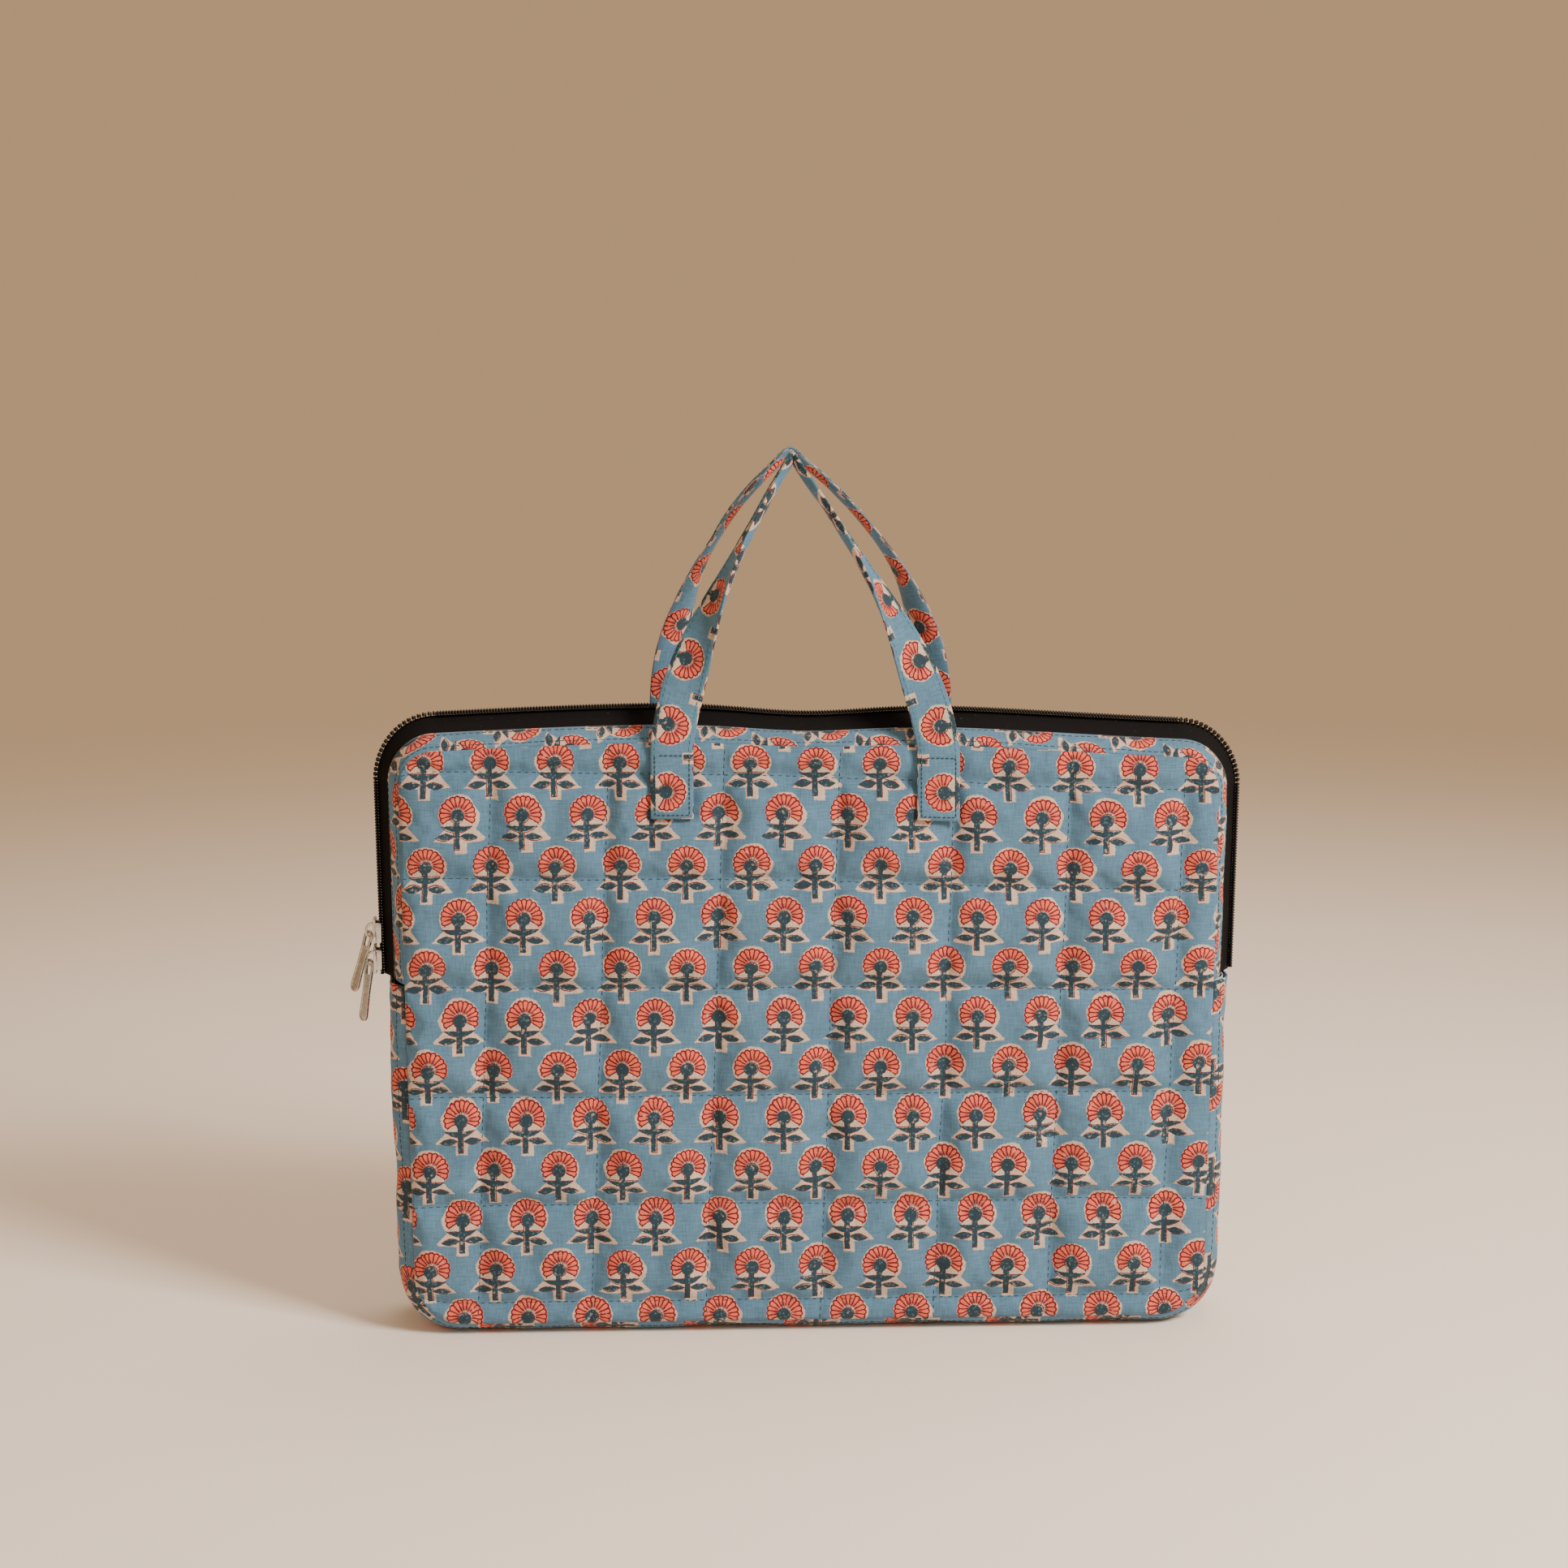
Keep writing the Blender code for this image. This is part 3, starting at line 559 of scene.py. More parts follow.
def stitch_places(points, up, pitch, length, radius):
    """Places for stitches along a run of points; up is the direction off the cloth at each point."""
    points, up = np.array(points, float), np.array(up, float)
    lengths = np.concatenate([[0], np.cumsum(np.linalg.norm(np.diff(points, axis=0), axis=1))])
    found = []
    for i in range(int(lengths[-1] / pitch)):
        uneven = 0.12 * noise.noise(Vector((i * 1.7, points[0][0] * 90, points[0][2] * 70)))
        at = (i + 0.5 + uneven) * pitch
        ends = [np.array([np.interp(at + way * length / 2, lengths, points[:, k]) for k in range(3)])
                for way in (-1, 1)]
        off = np.array([np.interp(at, lengths, up[:, k]) for k in range(3)])
        off /= np.linalg.norm(off)
        run = (ends[1] - ends[0]) / 2
        wide = np.cross(run, off)
        wide *= radius / (np.linalg.norm(wide) + 1e-9)
        found.append(((ends[0] + ends[1]) / 2 + off * radius * 0.45, run, wide, off * radius * 0.8))
    return found


# ---- the quilted panels --------------------------------------------------------------------------------
STITCH_COLUMNS = [-142.0 + 51.4 * k for k in range(7)]     # where each upright line is, 235 mm up
STITCH_LEAN = 0.036
STITCH_ROWS = ((15.5, 0), (60, 0), (110, 0), (159, 3), (207, 5), (254, 6))     # height and drop to the right
QUILT_STEP = 3.2
PUFF = 4.4 * MM
QUILT_TUCK = 1.4 * MM           # how much deeper the stitch lines lie than the seams
COLUMN_STOPS = [-180.0] + STITCH_COLUMNS + [180.0]
ROW_STOPS = [SEAM_BOTTOM_Z / MM] + [height for height, _ in STITCH_ROWS] + [SEAM_CORNER_Z / MM]
STRAP_BASE_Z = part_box("front_handle_left_end")[1].z
STRAP_ENDS = [(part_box(f"front_handle_{way}_end")[0].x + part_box(f"front_handle_{way}_end")[1].x) / 2
              for way in ("left", "right")]
STRAP_WIDTH = 19 * MM
STITCHED_LENGTH = 30 * MM


def spread(stops):
    """Places along numbered stops, each gap cut into equal parts near the quilt's step."""
    places = [0.0]
    for k, (low, high) in enumerate(zip(stops, stops[1:])):
        parts = max(3, round((high - low) / QUILT_STEP))
        places.extend(k + (j + 1) / parts for j in range(parts))
    return np.array(places)


def rounded(x, z):
    """A point of the straight-sided panel moved so that the panel's corners are round."""
    upper = z > (SEAM_BOTTOM_Z + SEAM_TOP_Z) / 2
    radius = TOP_RADIUS if upper else BOTTOM_RADIUS
    centre_x = (SEAM_HALF_TOP if upper else SEAM_HALF_BOTTOM) - radius
    centre_z = SEAM_CORNER_Z - radius if upper else SEAM_BOTTOM_Z + radius
    span = half_width(z) - centre_x
    a = (abs(x) - centre_x) / span
    b = (z - centre_z) / radius * (1 if upper else -1)
    if a <= 0 or b <= 0:
        return x, z
    across, up = a * sqrt(1 - b * b / 2), b * sqrt(1 - a * a / 2)
    return ((centre_x + across * span) * (1 if x > 0 else -1),
            centre_z + up * radius * (1 if upper else -1))


def quilt_plan():
    """Each grid point's x and z on the flat panel, its distances to the nearest lines and its puff."""
    columns, rows = spread(COLUMN_STOPS), spread(ROW_STOPS)
    plan = np.zeros((len(rows), len(columns), 2))
    gaps = np.zeros((len(rows), len(columns), 2))
    puff = np.zeros((len(rows), len(columns)))
    for i, row in enumerate(rows):
        for j, column in enumerate(columns):
            x = np.interp(column, range(len(COLUMN_STOPS)), COLUMN_STOPS) * MM
            for _ in range(3):
                heights = [height * MM - drop * x / 0.36 for height, drop in
                           ((h, d * MM) for h, d in STITCH_ROWS)]
                z = np.interp(row, range(len(ROW_STOPS)), [SEAM_BOTTOM_Z] + heights + [top_seam(x)])
                lines = [line * MM - STITCH_LEAN * (0.235 - z) for line in STITCH_COLUMNS]
                x = np.interp(column, range(len(COLUMN_STOPS)), [-half_width(z)] + lines + [half_width(z)])
            loose = smooth_step(0, 20 * MM, edge_distance(x, z)) * 0.9 * MM
            x += noise.noise(Vector((x * 22, z * 22, 3.1))) * loose
            z += noise.noise(Vector((x * 22, z * 22, 7.7))) * loose
            plan[i, j] = rounded(x, z)
            share = 1.0
            for axis, (at, stops) in enumerate(((column, COLUMN_STOPS), (row, ROW_STOPS))):
                k = min(int(at), len(stops) - 2)
                gap = stops[k + 1] - stops[k]
                away = min(at - k, k + 1 - at) * gap
                gaps[i, j, axis] = away
                share *= (1 - (1 - min(1.0, away / 10)) ** 2.0) * min(1.0, 0.35 + gap / 60)
            k, m = min(int(column), len(COLUMN_STOPS) - 2), min(int(row), len(ROW_STOPS) - 2)
            lively = 1 + 0.14 * noise.noise(Vector((k * 3.7, m * 5.3, 1.0)))
            puff[i, j] = PUFF * share * lively
    return plan, gaps, puff


def finer(points):
    """Twice as many rows and columns of points, on smooth curves through the given ones."""
    for axis in (0, 1):
        p = np.moveaxis(points, axis, 0)
        wide = np.concatenate([2 * p[:1] - p[1:2], p, 2 * p[-1:] - p[-2:-1]])
        middle = (-wide[:-3] + 9 * wide[1:-2] + 9 * wide[2:-1] - wide[3:]) / 16
        both = np.empty((2 * len(p) - 1, *p.shape[1:]))
        both[::2], both[1::2] = p, middle
        points = np.moveaxis(both, 0, axis)
    return points


BILLOW_FRAMES = 26
BILLOW_REACH = 3.5 * MM         # the furthest that the cotton may leave its wadding


def billow(points, held):
    """Lets the panel's cotton billow off its wadding as a cloth that is held along its stitch lines."""
    made = grid_piece("billow", points, np.zeros((*points.shape[:2], 2)), PRINT)
    group = made.vertex_groups.new(name="held")
    group.add([int(i) for i in np.flatnonzero(held.ravel())], 1.0, "REPLACE")
    cloth = made.modifiers.new("billow", "CLOTH")
    settings = cloth.settings
    settings.vertex_group_mass = "held"
    settings.quality = 6
    settings.mass = 0.15
    settings.air_damping = 6
    settings.tension_stiffness = settings.compression_stiffness = 12
    settings.shear_stiffness = 4
    settings.bending_stiffness = 1.5
    settings.shrink_min = -0.012
    settings.use_pressure = True
    settings.uniform_pressure_force = 2.0
    settings.effector_weights.gravity = 0
    cloth.collision_settings.use_collision = False
    cloth.point_cache.frame_end = BILLOW_FRAMES
    scene = bpy.context.scene
    for moment in range(1, BILLOW_FRAMES + 1):
        scene.frame_set(moment)
    evaluated = made.evaluated_get(bpy.context.evaluated_depsgraph_get())
    moved = np.array([v.co[:] for v in evaluated.data.vertices]).reshape(points.shape)
    bpy.data.objects.remove(made, do_unlink=True)
    scene.frame_set(1)
    shift = moved - points
    size = np.linalg.norm(shift, axis=2, keepdims=True)
    return points + shift * np.minimum(1, BILLOW_REACH / (size + 1e-9))


def panel_sheets(face, side):
    """One quilted panel: its printed cotton, wadding, lining and quilting stitches."""
    plan, gaps, puff = quilt_plan()
    plan = plan * (-side, 1)
    inside = np.vectorize(lambda x, z: smooth_step(0, 16 * MM, edge_distance(x, z)))
    base = (np.vectorize(half_depth)(plan[..., 1]) - SEAM_TUCK
            - QUILT_TUCK * inside(plan[..., 0], plan[..., 1]))
    for x in STRAP_ENDS:
        aside = np.clip((np.abs(plan[..., 0] - x) - STRAP_WIDTH / 2 - 1 * MM) / (7 * MM), 0, 1)
        below = np.clip((STRAP_BASE_Z - STITCHED_LENGTH - 1 * MM - plan[..., 1]) / (7 * MM), 0, 1)
        room = np.maximum(aside, below)
        puff = np.minimum(puff, 2.9 * MM + room * 4 * MM)
    flat = np.stack([plan[..., 0], side * base, plan[..., 1]], axis=2)
    points = flat + np.stack([0 * puff, side * puff, 0 * puff], axis=2)
    pressed = puff < 0.02 * MM
    for x in STRAP_ENDS:
        pressed |= ((np.abs(plan[..., 0] - x) < STRAP_WIDTH / 2 + 2 * MM)
                    & (plan[..., 1] > STRAP_BASE_Z - STITCHED_LENGTH - 2 * MM))
    points = billow(points, pressed)
    coarse = points
    points, plan, gaps = finer(points), finer(plan), finer(gaps)
    puckers = np.zeros(points.shape[:2])
    for i in range(points.shape[0]):
        for j in range(points.shape[1]):
            x, z = plan[i, j] / MM
            for axis, stretched in ((0, (x / 9, z / 2.7, side)), (1, (x / 2.7, z / 9, side + 5))):
                away = max(0.0, gaps[i, j, axis])
                swell = min(1.0, away / 1.6) * hump(away / 6.5)
                puckers[i, j] += 0.42 * MM * swell * noise.noise(Vector(stretched))
    points = points + np.stack([0 * puckers, side * puckers, 0 * puckers], axis=2)
    across, up = plan[..., 0] / MM, plan[..., 1] / MM
    cloth = np.stack([(across + 141.6) * -side, up - 254.5 + side * 9.0 + 9.0], axis=2)
    cotton = grid_piece(f"{face}_printed_cotton", points, cloth, PRINT)
    shell(cotton, 0.6 * MM)
    middle = side * (np.abs(coarse[..., 1]) - 0.7 * MM)
    inner = side * (base - 1.1 * MM - 0.3 * puff)
    outer_face = coarse.copy()
    outer_face[..., 1] = middle
    inner_face = flat.copy()
    inner_face[..., 1] = inner
    fleece = wadding(f"{face}_wadding_fleece", outer_face[1:-1, 1:-1], inner_face[1:-1, 1:-1])
    lining_face = flat.copy()
    lining_face[..., 1] = inner - side * 0.1 * MM
    for edge, next_in in ((0, 1), (-1, -2)):
        lining_face[edge] += (lining_face[next_in] - lining_face[edge]) * 0.45
        lining_face[:, edge] += (lining_face[:, next_in] - lining_face[:, edge]) * 0.45
    place = np.stack([flat[..., 0] / MM, flat[..., 2] / MM], axis=2)
    lining = shell(grid_piece(f"{face}_lining_cotton", lining_face, place, LINING), 0.5 * MM)
    run_places = []
    scale = (points.shape[0] - 1) // (coarse.shape[0] - 1)
    columns, rows = spread(COLUMN_STOPS), spread(ROW_STOPS)
    for places, stops, grid in ((columns, COLUMN_STOPS, points.swapaxes(0, 1)), (rows, ROW_STOPS, points)):
        for k in range(1, len(stops) - 1):
            line = grid[int(np.argmin(abs(places - k))) * scale]
            run_places += stitch_places(line, [(0, side, 0)] * len(line), *QUILT_STITCH)
    run_places = [p for p in run_places if not under_strap(p[0])]
    thread = beads(f"{face}_quilting_stitches", run_places, THREAD)
    return cotton, fleece, lining, thread


def under_strap(point):
    return (point[2] > STRAP_BASE_Z - STITCHED_LENGTH
            and any(abs(point[0] - x) < STRAP_WIDTH / 2 for x in STRAP_ENDS))


def wadding(name, outer_face, inner_face):
    """A closed pad between two faces that share their outline."""
    rows, columns = outer_face.shape[:2]
    verts = np.concatenate([outer_face.reshape(-1, 3), inner_face.reshape(-1, 3)])
    back = rows * columns
    faces = []
    for i in range(rows - 1):
        for j in range(columns - 1):
            a, b, c, d = (i * columns + j, i * columns + j + 1, (i + 1) * columns + j + 1,
                          (i + 1) * columns + j)
            faces += [(a, b, c, d), (back + d, back + c, back + b, back + a)]
    ring = list(range(columns)) + [i * columns + columns - 1 for i in range(1, rows)]
    ring += [(rows - 1) * columns + j for j in range(columns - 2, -1, -1)]
    ring += [i * columns for i in range(rows - 2, 0, -1)]
    for a, b in zip(ring, ring[1:] + ring[:1]):
        faces.append((b, a, back + a, back + b))
    loops = [(verts[v][0] / MM, verts[v][2] / MM) for f in faces for v in f]
    return piece(name, verts, faces, FLEECE, loops)


def settle(made):
    """Lets the empty bag's top slump: it droops to the right and dips between the handles."""
    apply_modifiers(made)
    for vertex in made.data.vertices:
        x, z = vertex.co.x, vertex.co.z
        droop = 5 * MM * smooth_step(-30 * MM, 170 * MM, x) * smooth_step(110 * MM, 262 * MM, z)
        dip = 4.5 * MM * hump((x + 2 * MM) / (40 * MM))
        dip *= smooth_step(250 * MM, 285 * MM, z) * (1 - smooth_step(290 * MM, 320 * MM, z))
        vertex.co.z -= droop + dip
    return made


def fold_with_flap(made):
    """Cloth of the front: lets it settle with the bag's slumped top and bakes its place into its mesh."""
    settle(made)
    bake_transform(made)
    return made


def apply_modifiers(made):
    """Bakes an object's modifiers into its mesh."""
    if made.modifiers:
        evaluated = made.evaluated_get(bpy.context.evaluated_depsgraph_get())
        mesh = bpy.data.meshes.new_from_object(evaluated)
        made.modifiers.clear()
        made.data = mesh
    return made


cotton, fleece, lining, thread = panel_sheets("front", -1)
dress(fold_with_flap(cotton), "printed_cotton", "front_panel_lower", "front_panel_upper")
dress(fold_with_flap(fleece), "wadding", "front_wadding_lower", "front_wadding_upper")
dress(fold_with_flap(lining), "lining_cotton", "front_lining_lower", "front_lining_upper")
fold_with_flap(thread)
cotton, fleece, lining, thread = panel_sheets("back", 1)
dress(cotton, "printed_cotton", "back_panel")
dress(fleece, "wadding", "back_wadding")
dress(lining, "lining_cotton", "back_lining")
for made in (cotton, fleece, lining, thread):
    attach(settle(made), "bag_body")


# ---- the gusset round the sides and base ---------------------------------------------------------------
def gusset_surface(path, lengths, columns, sink, tuck, waviness):
    """Rows of points across the gusset, and the cloth's millimetres at each."""
    rows, cloth = [], []
    for (x, z, nx, nz), length in zip(path, lengths):
        bulge = GUSSET_BULGE + GUSSET_SIDE_BULGE * abs(nx)
        reach = half_depth(z) - tuck
        row, marks = [], []
        for share in np.linspace(-1, 1, columns):
            turned = max(0.0, (abs(share) - 0.5) / 0.5)
            soft = 1 - turned ** 2
            wave = noise.noise(Vector((length * 24, share * 1.6, 2.0))) * 1.5 * MM * soft
            creased = noise.noise(Vector((length * 95, share * 0.9, 9.0))) * 0.5 * MM
            near = min(1.0, (1 - abs(share)) / 0.12) * hump(((1 - abs(share)) - 0.12) / 0.2)
            pucker = noise.noise(Vector((length * 330, share * 3, 4.0))) * 0.45 * MM * near
            out = bulge * soft - sink + (wave + creased * soft + pucker) * waviness
            row.append((x + nx * out, share * reach, z + nz * out))
            marks.append((-share * reach / MM + 4.0, length / MM))
        rows.append(row)
        cloth.append(marks)
    return rows, cloth


low_path, low_lengths = bottom_path(ZIP_END_Z - 0.4 * MM, 1.6 * MM)
points, marks = gusset_surface(low_path, low_lengths, 41, 0.0, SEAM_TUCK + 0.35 * MM, 1.0)
gusset = shell(grid_piece("gusset_printed_cotton", points, marks, PRINT, flip=True), 0.8 * MM)
dress(gusset, "printed_cotton", "gusset")
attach(settle(gusset), "bag_body")
seam_runs = []
for column in (3, 37):
    run = np.array([row[column] for row in points])
    off = np.array([(nx, 0.6 * (1 if column > 20 else -1), nz) for _, _, nx, nz in low_path])
    seam_runs += stitch_places(run, off, *TOPSTITCH)
gusset_thread = beads("gusset_topstitches", seam_runs, THREAD)
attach(settle(gusset_thread), "bag_body")
points, marks = gusset_surface(low_path[::2], low_lengths[::2], 25, 1.7 * MM, 5.2 * MM, 0.4)
gusset_lining = shell(grid_piece("gusset_lining_cotton", points, marks, LINING, flip=True), 0.6 * MM)
dress(gusset_lining, "lining_cotton", "gusset_lining")
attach(settle(gusset_lining), "bag_body")


# ---- bindings over the raw seams inside -----------------------------------------------------------------
def binding(name, side):
    """A folded strip of cotton over one seam's raw edges, all the way round inside."""
    lower, _ = bottom_path(FOLD.z, 3 * MM)
    upper, _ = top_path(FOLD.z, 3 * MM)
    around = list(lower[:-1]) + list(upper[:-1])
    rows, cloth = [], []
    for i, (x, z, nx, nz) in enumerate(around):
        row, marks = [], []
        for k in range(7):
            share = k / 6
            wave = noise.noise(Vector((i * 0.4, share, side))) * 0.35 * MM
            drawn_in = 2.9 * MM + 0.5 * MM * sin(share * pi) + wave * share
            y = side * (half_depth(z) - 5.6 * MM - 5 * MM * share)
            row.append((x - nx * drawn_in, y, z - nz * drawn_in))
            marks.append((share * 5, i * 3))
        rows.append(row)
        cloth.append(marks)
    rows.append(rows[0])
    cloth.append([(u, len(around) * 3) for u, _ in cloth[0]])
    made = shell(grid_piece(name, rows, cloth, BINDING, flip=side < 0), 0.8 * MM)
    return weld(made)


def weld(made):
    """Joins the first and last rows of a strip that goes all the way round."""
    build = bmesh.new()
    build.from_mesh(made.data)
    bmesh.ops.remove_doubles(build, verts=build.verts, dist=0.01 * MM)
    build.to_mesh(made.data)
    build.free()
    return made


front_binding = dress(fold_with_flap(binding("front_seam_binding", -1)), "lining_cotton",
                      "front_binding_lower", "front_binding_upper")
back_binding = dress(binding("back_seam_binding", 1), "lining_cotton", "back_binding")
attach(settle(back_binding), "bag_body")


# ---- the zip: facings, tapes and coil --------------------------------------------------------------------
def zip_section(share, nx, nz):
    """How far out and how far across the zip's slope is at a share of the way to its middle."""
    rise = ZIP_RISE_SIDE * nx * nx + ZIP_RISE_TOP * nz * nz
    if share <= KNEE:
        return rise * KNEE_RISE * share / KNEE, KNEE_REACH * share / KNEE
    rest = (share - KNEE) / (1 - KNEE)
    return rise * (KNEE_RISE + (1 - KNEE_RISE) * rest), KNEE_REACH + (1 - KNEE_REACH) * rest


def zip_strip(name, side, span, columns, swell, sink, material, waviness):
    """A strip of the zip's slope from one closed end, over the top, to the other."""
    rows, cloth = [], []
    for (x, z, nx, nz), length in zip(high_path, high_lengths):
        row, marks = [], []
        previous, travelled = None, 0.0
        for k in range(columns):
            local = k / (columns - 1)
            out, across = zip_section(span[0] + (span[1] - span[0]) * local, nx, nz)
            soft = sin(local * pi)
            wave = noise.noise(Vector((length * 40, local * 0.8, side * 3.0))) * 0.9 * MM
            pucker = noise.noise(Vector((length * 300, local * 2, side * 5.0))) * 0.3 * MM
            out += swell * soft - sink + (wave * soft + pucker * min(1.0, 4 * local * (1 - local))) * waviness
            y = side * (half_depth(z) - SEAM_TUCK - 0.35 * MM) * (1 - across)
            point = Vector((x + nx * out, y, z + nz * out))
            travelled += (point - previous).length if previous else 0.0
            previous = point
            row.append(point[:])
            marks.append((side * travelled / MM - side * 12.0, length / MM + side * 7.0))
        rows.append(row)
        cloth.append(marks)
    return grid_piece(name, rows, cloth, material, flip=side < 0), rows


TOOTH_PITCH = 1.3 * MM
high_path, high_lengths = top_path(ZIP_END_Z + 0.4 * MM, 1.6 * MM)
for side, face in ((-1, "front"), (1, "back")):
    facing, rows = zip_strip(f"{face}_zip_facing_cotton", side, (0.0, 0.47), 12, 0.9 * MM, 0.0, PRINT, 1.0)
    shell(facing, 1.1 * MM)
    tape, _ = zip_strip(f"{face}_zip_tape_weave", side, (0.43, 0.985), 9, 0.3 * MM, 1.1 * MM, TAPE, 0.4)
    shell(tape, 0.6 * MM)
    runs = []
    for column in (2, 9):
        run = np.array([row[column] for row in rows])
        off = np.array([(nx, side * 0.7, nz) for _, _, nx, nz in high_path])
        runs += stitch_places(run, off, *TOPSTITCH)
    thread = beads(f"{face}_facing_topstitches", runs, THREAD)
    teeth = []
    for i in range(int(high_lengths[-1] / TOOTH_PITCH)):
        at = (i + (0.5 if side > 0 else 0.0)) * TOOTH_PITCH + 0.4 * MM
        x, z, nx, nz = (np.interp(at, high_lengths, high_path[:, k]) for k in range(4))
        size = hypot(nx, nz)
        nx, nz = nx / size, nz / size
        out = zip_section(1.0, nx, nz)[0] - 0.45 * MM
        centre = (x + nx * out, side * 1.3 * MM, z + nz * out)
        teeth.append((centre, (0, side * 1.6 * MM, 0), (nz * 0.5 * MM, 0, -nx * 0.5 * MM),
                      (nx * 0.95 * MM, 0, nz * 0.95 * MM)))
    coil = beads(f"{face}_coil_teeth", teeth, COIL)
    made = (dress(facing, "printed_cotton"), dress(tape, "zip_tape"), dress(coil, "zip_coil"), thread)
    if side < 0:
        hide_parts("front_zip_facing", "zip_facing_end_left", "zip_facing_end_right")
        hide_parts("front_zip_tape", "zip_end_left", "zip_end_right")
        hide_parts("front_zip_coil")
        for part in made:
            fold_with_flap(part)
    else:
        for part, stands_for in zip(made, ("back_zip_facing", "back_zip_tape", "back_zip_coil")):
            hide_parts(stands_for)
        for part in made:
            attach(settle(part), "bag_body")


# ---- the handles -----------------------------------------------------------------------------------------
APEX_X, APEX_DEPTH, APEX_Z = -8 * MM, 10.5 * MM, 397 * MM
STRAP_THICKNESS = 2.4 * MM
STRAP_GAP = 0.3 * MM
STRAP_DEPTH = half_depth(STRAP_BASE_Z) + STRAP_GAP + STRAP_THICKNESS / 2
STRAP_HEIGHT = APEX_Z - STRAP_BASE_Z
BOW = {-1: 1.5, 1: 2.8}
TWIST_END = 0.8
CUP = 2.3 * MM                 # how deep the strap is cupped where it has turned edge-on
FIRST_FLOWER, LAST_FLOWER = 12.0, 12.8     # millimetres from a strap's ends to its outermost flowers


def strap_station(base_x, rise, side, turn_side):
    """Centre, across and through directions of a strap at a share of its height."""
    span = base_x - APEX_X
    bow = BOW[side]
    centre = Vector((APEX_X + span * (1 - rise ** bow),
                     side * (STRAP_DEPTH + (APEX_DEPTH - STRAP_DEPTH) * rise),
                     STRAP_BASE_Z + STRAP_GAP + STRAP_HEIGHT * rise))
    run = -bow * span * rise ** (bow - 1)
    along = Vector((run, side * (APEX_DEPTH - STRAP_DEPTH), STRAP_HEIGHT)).normalized()
    turn = pi / 4 * (1 - cos(pi * min(1.0, rise / TWIST_END)))
    flat = Vector((along.z, 0.0, -along.x)).normalized()
    wide = flat * cos(turn) + Vector((0.0, turn_side, 0.0)) * sin(turn)
    return centre, wide.normalized(), along


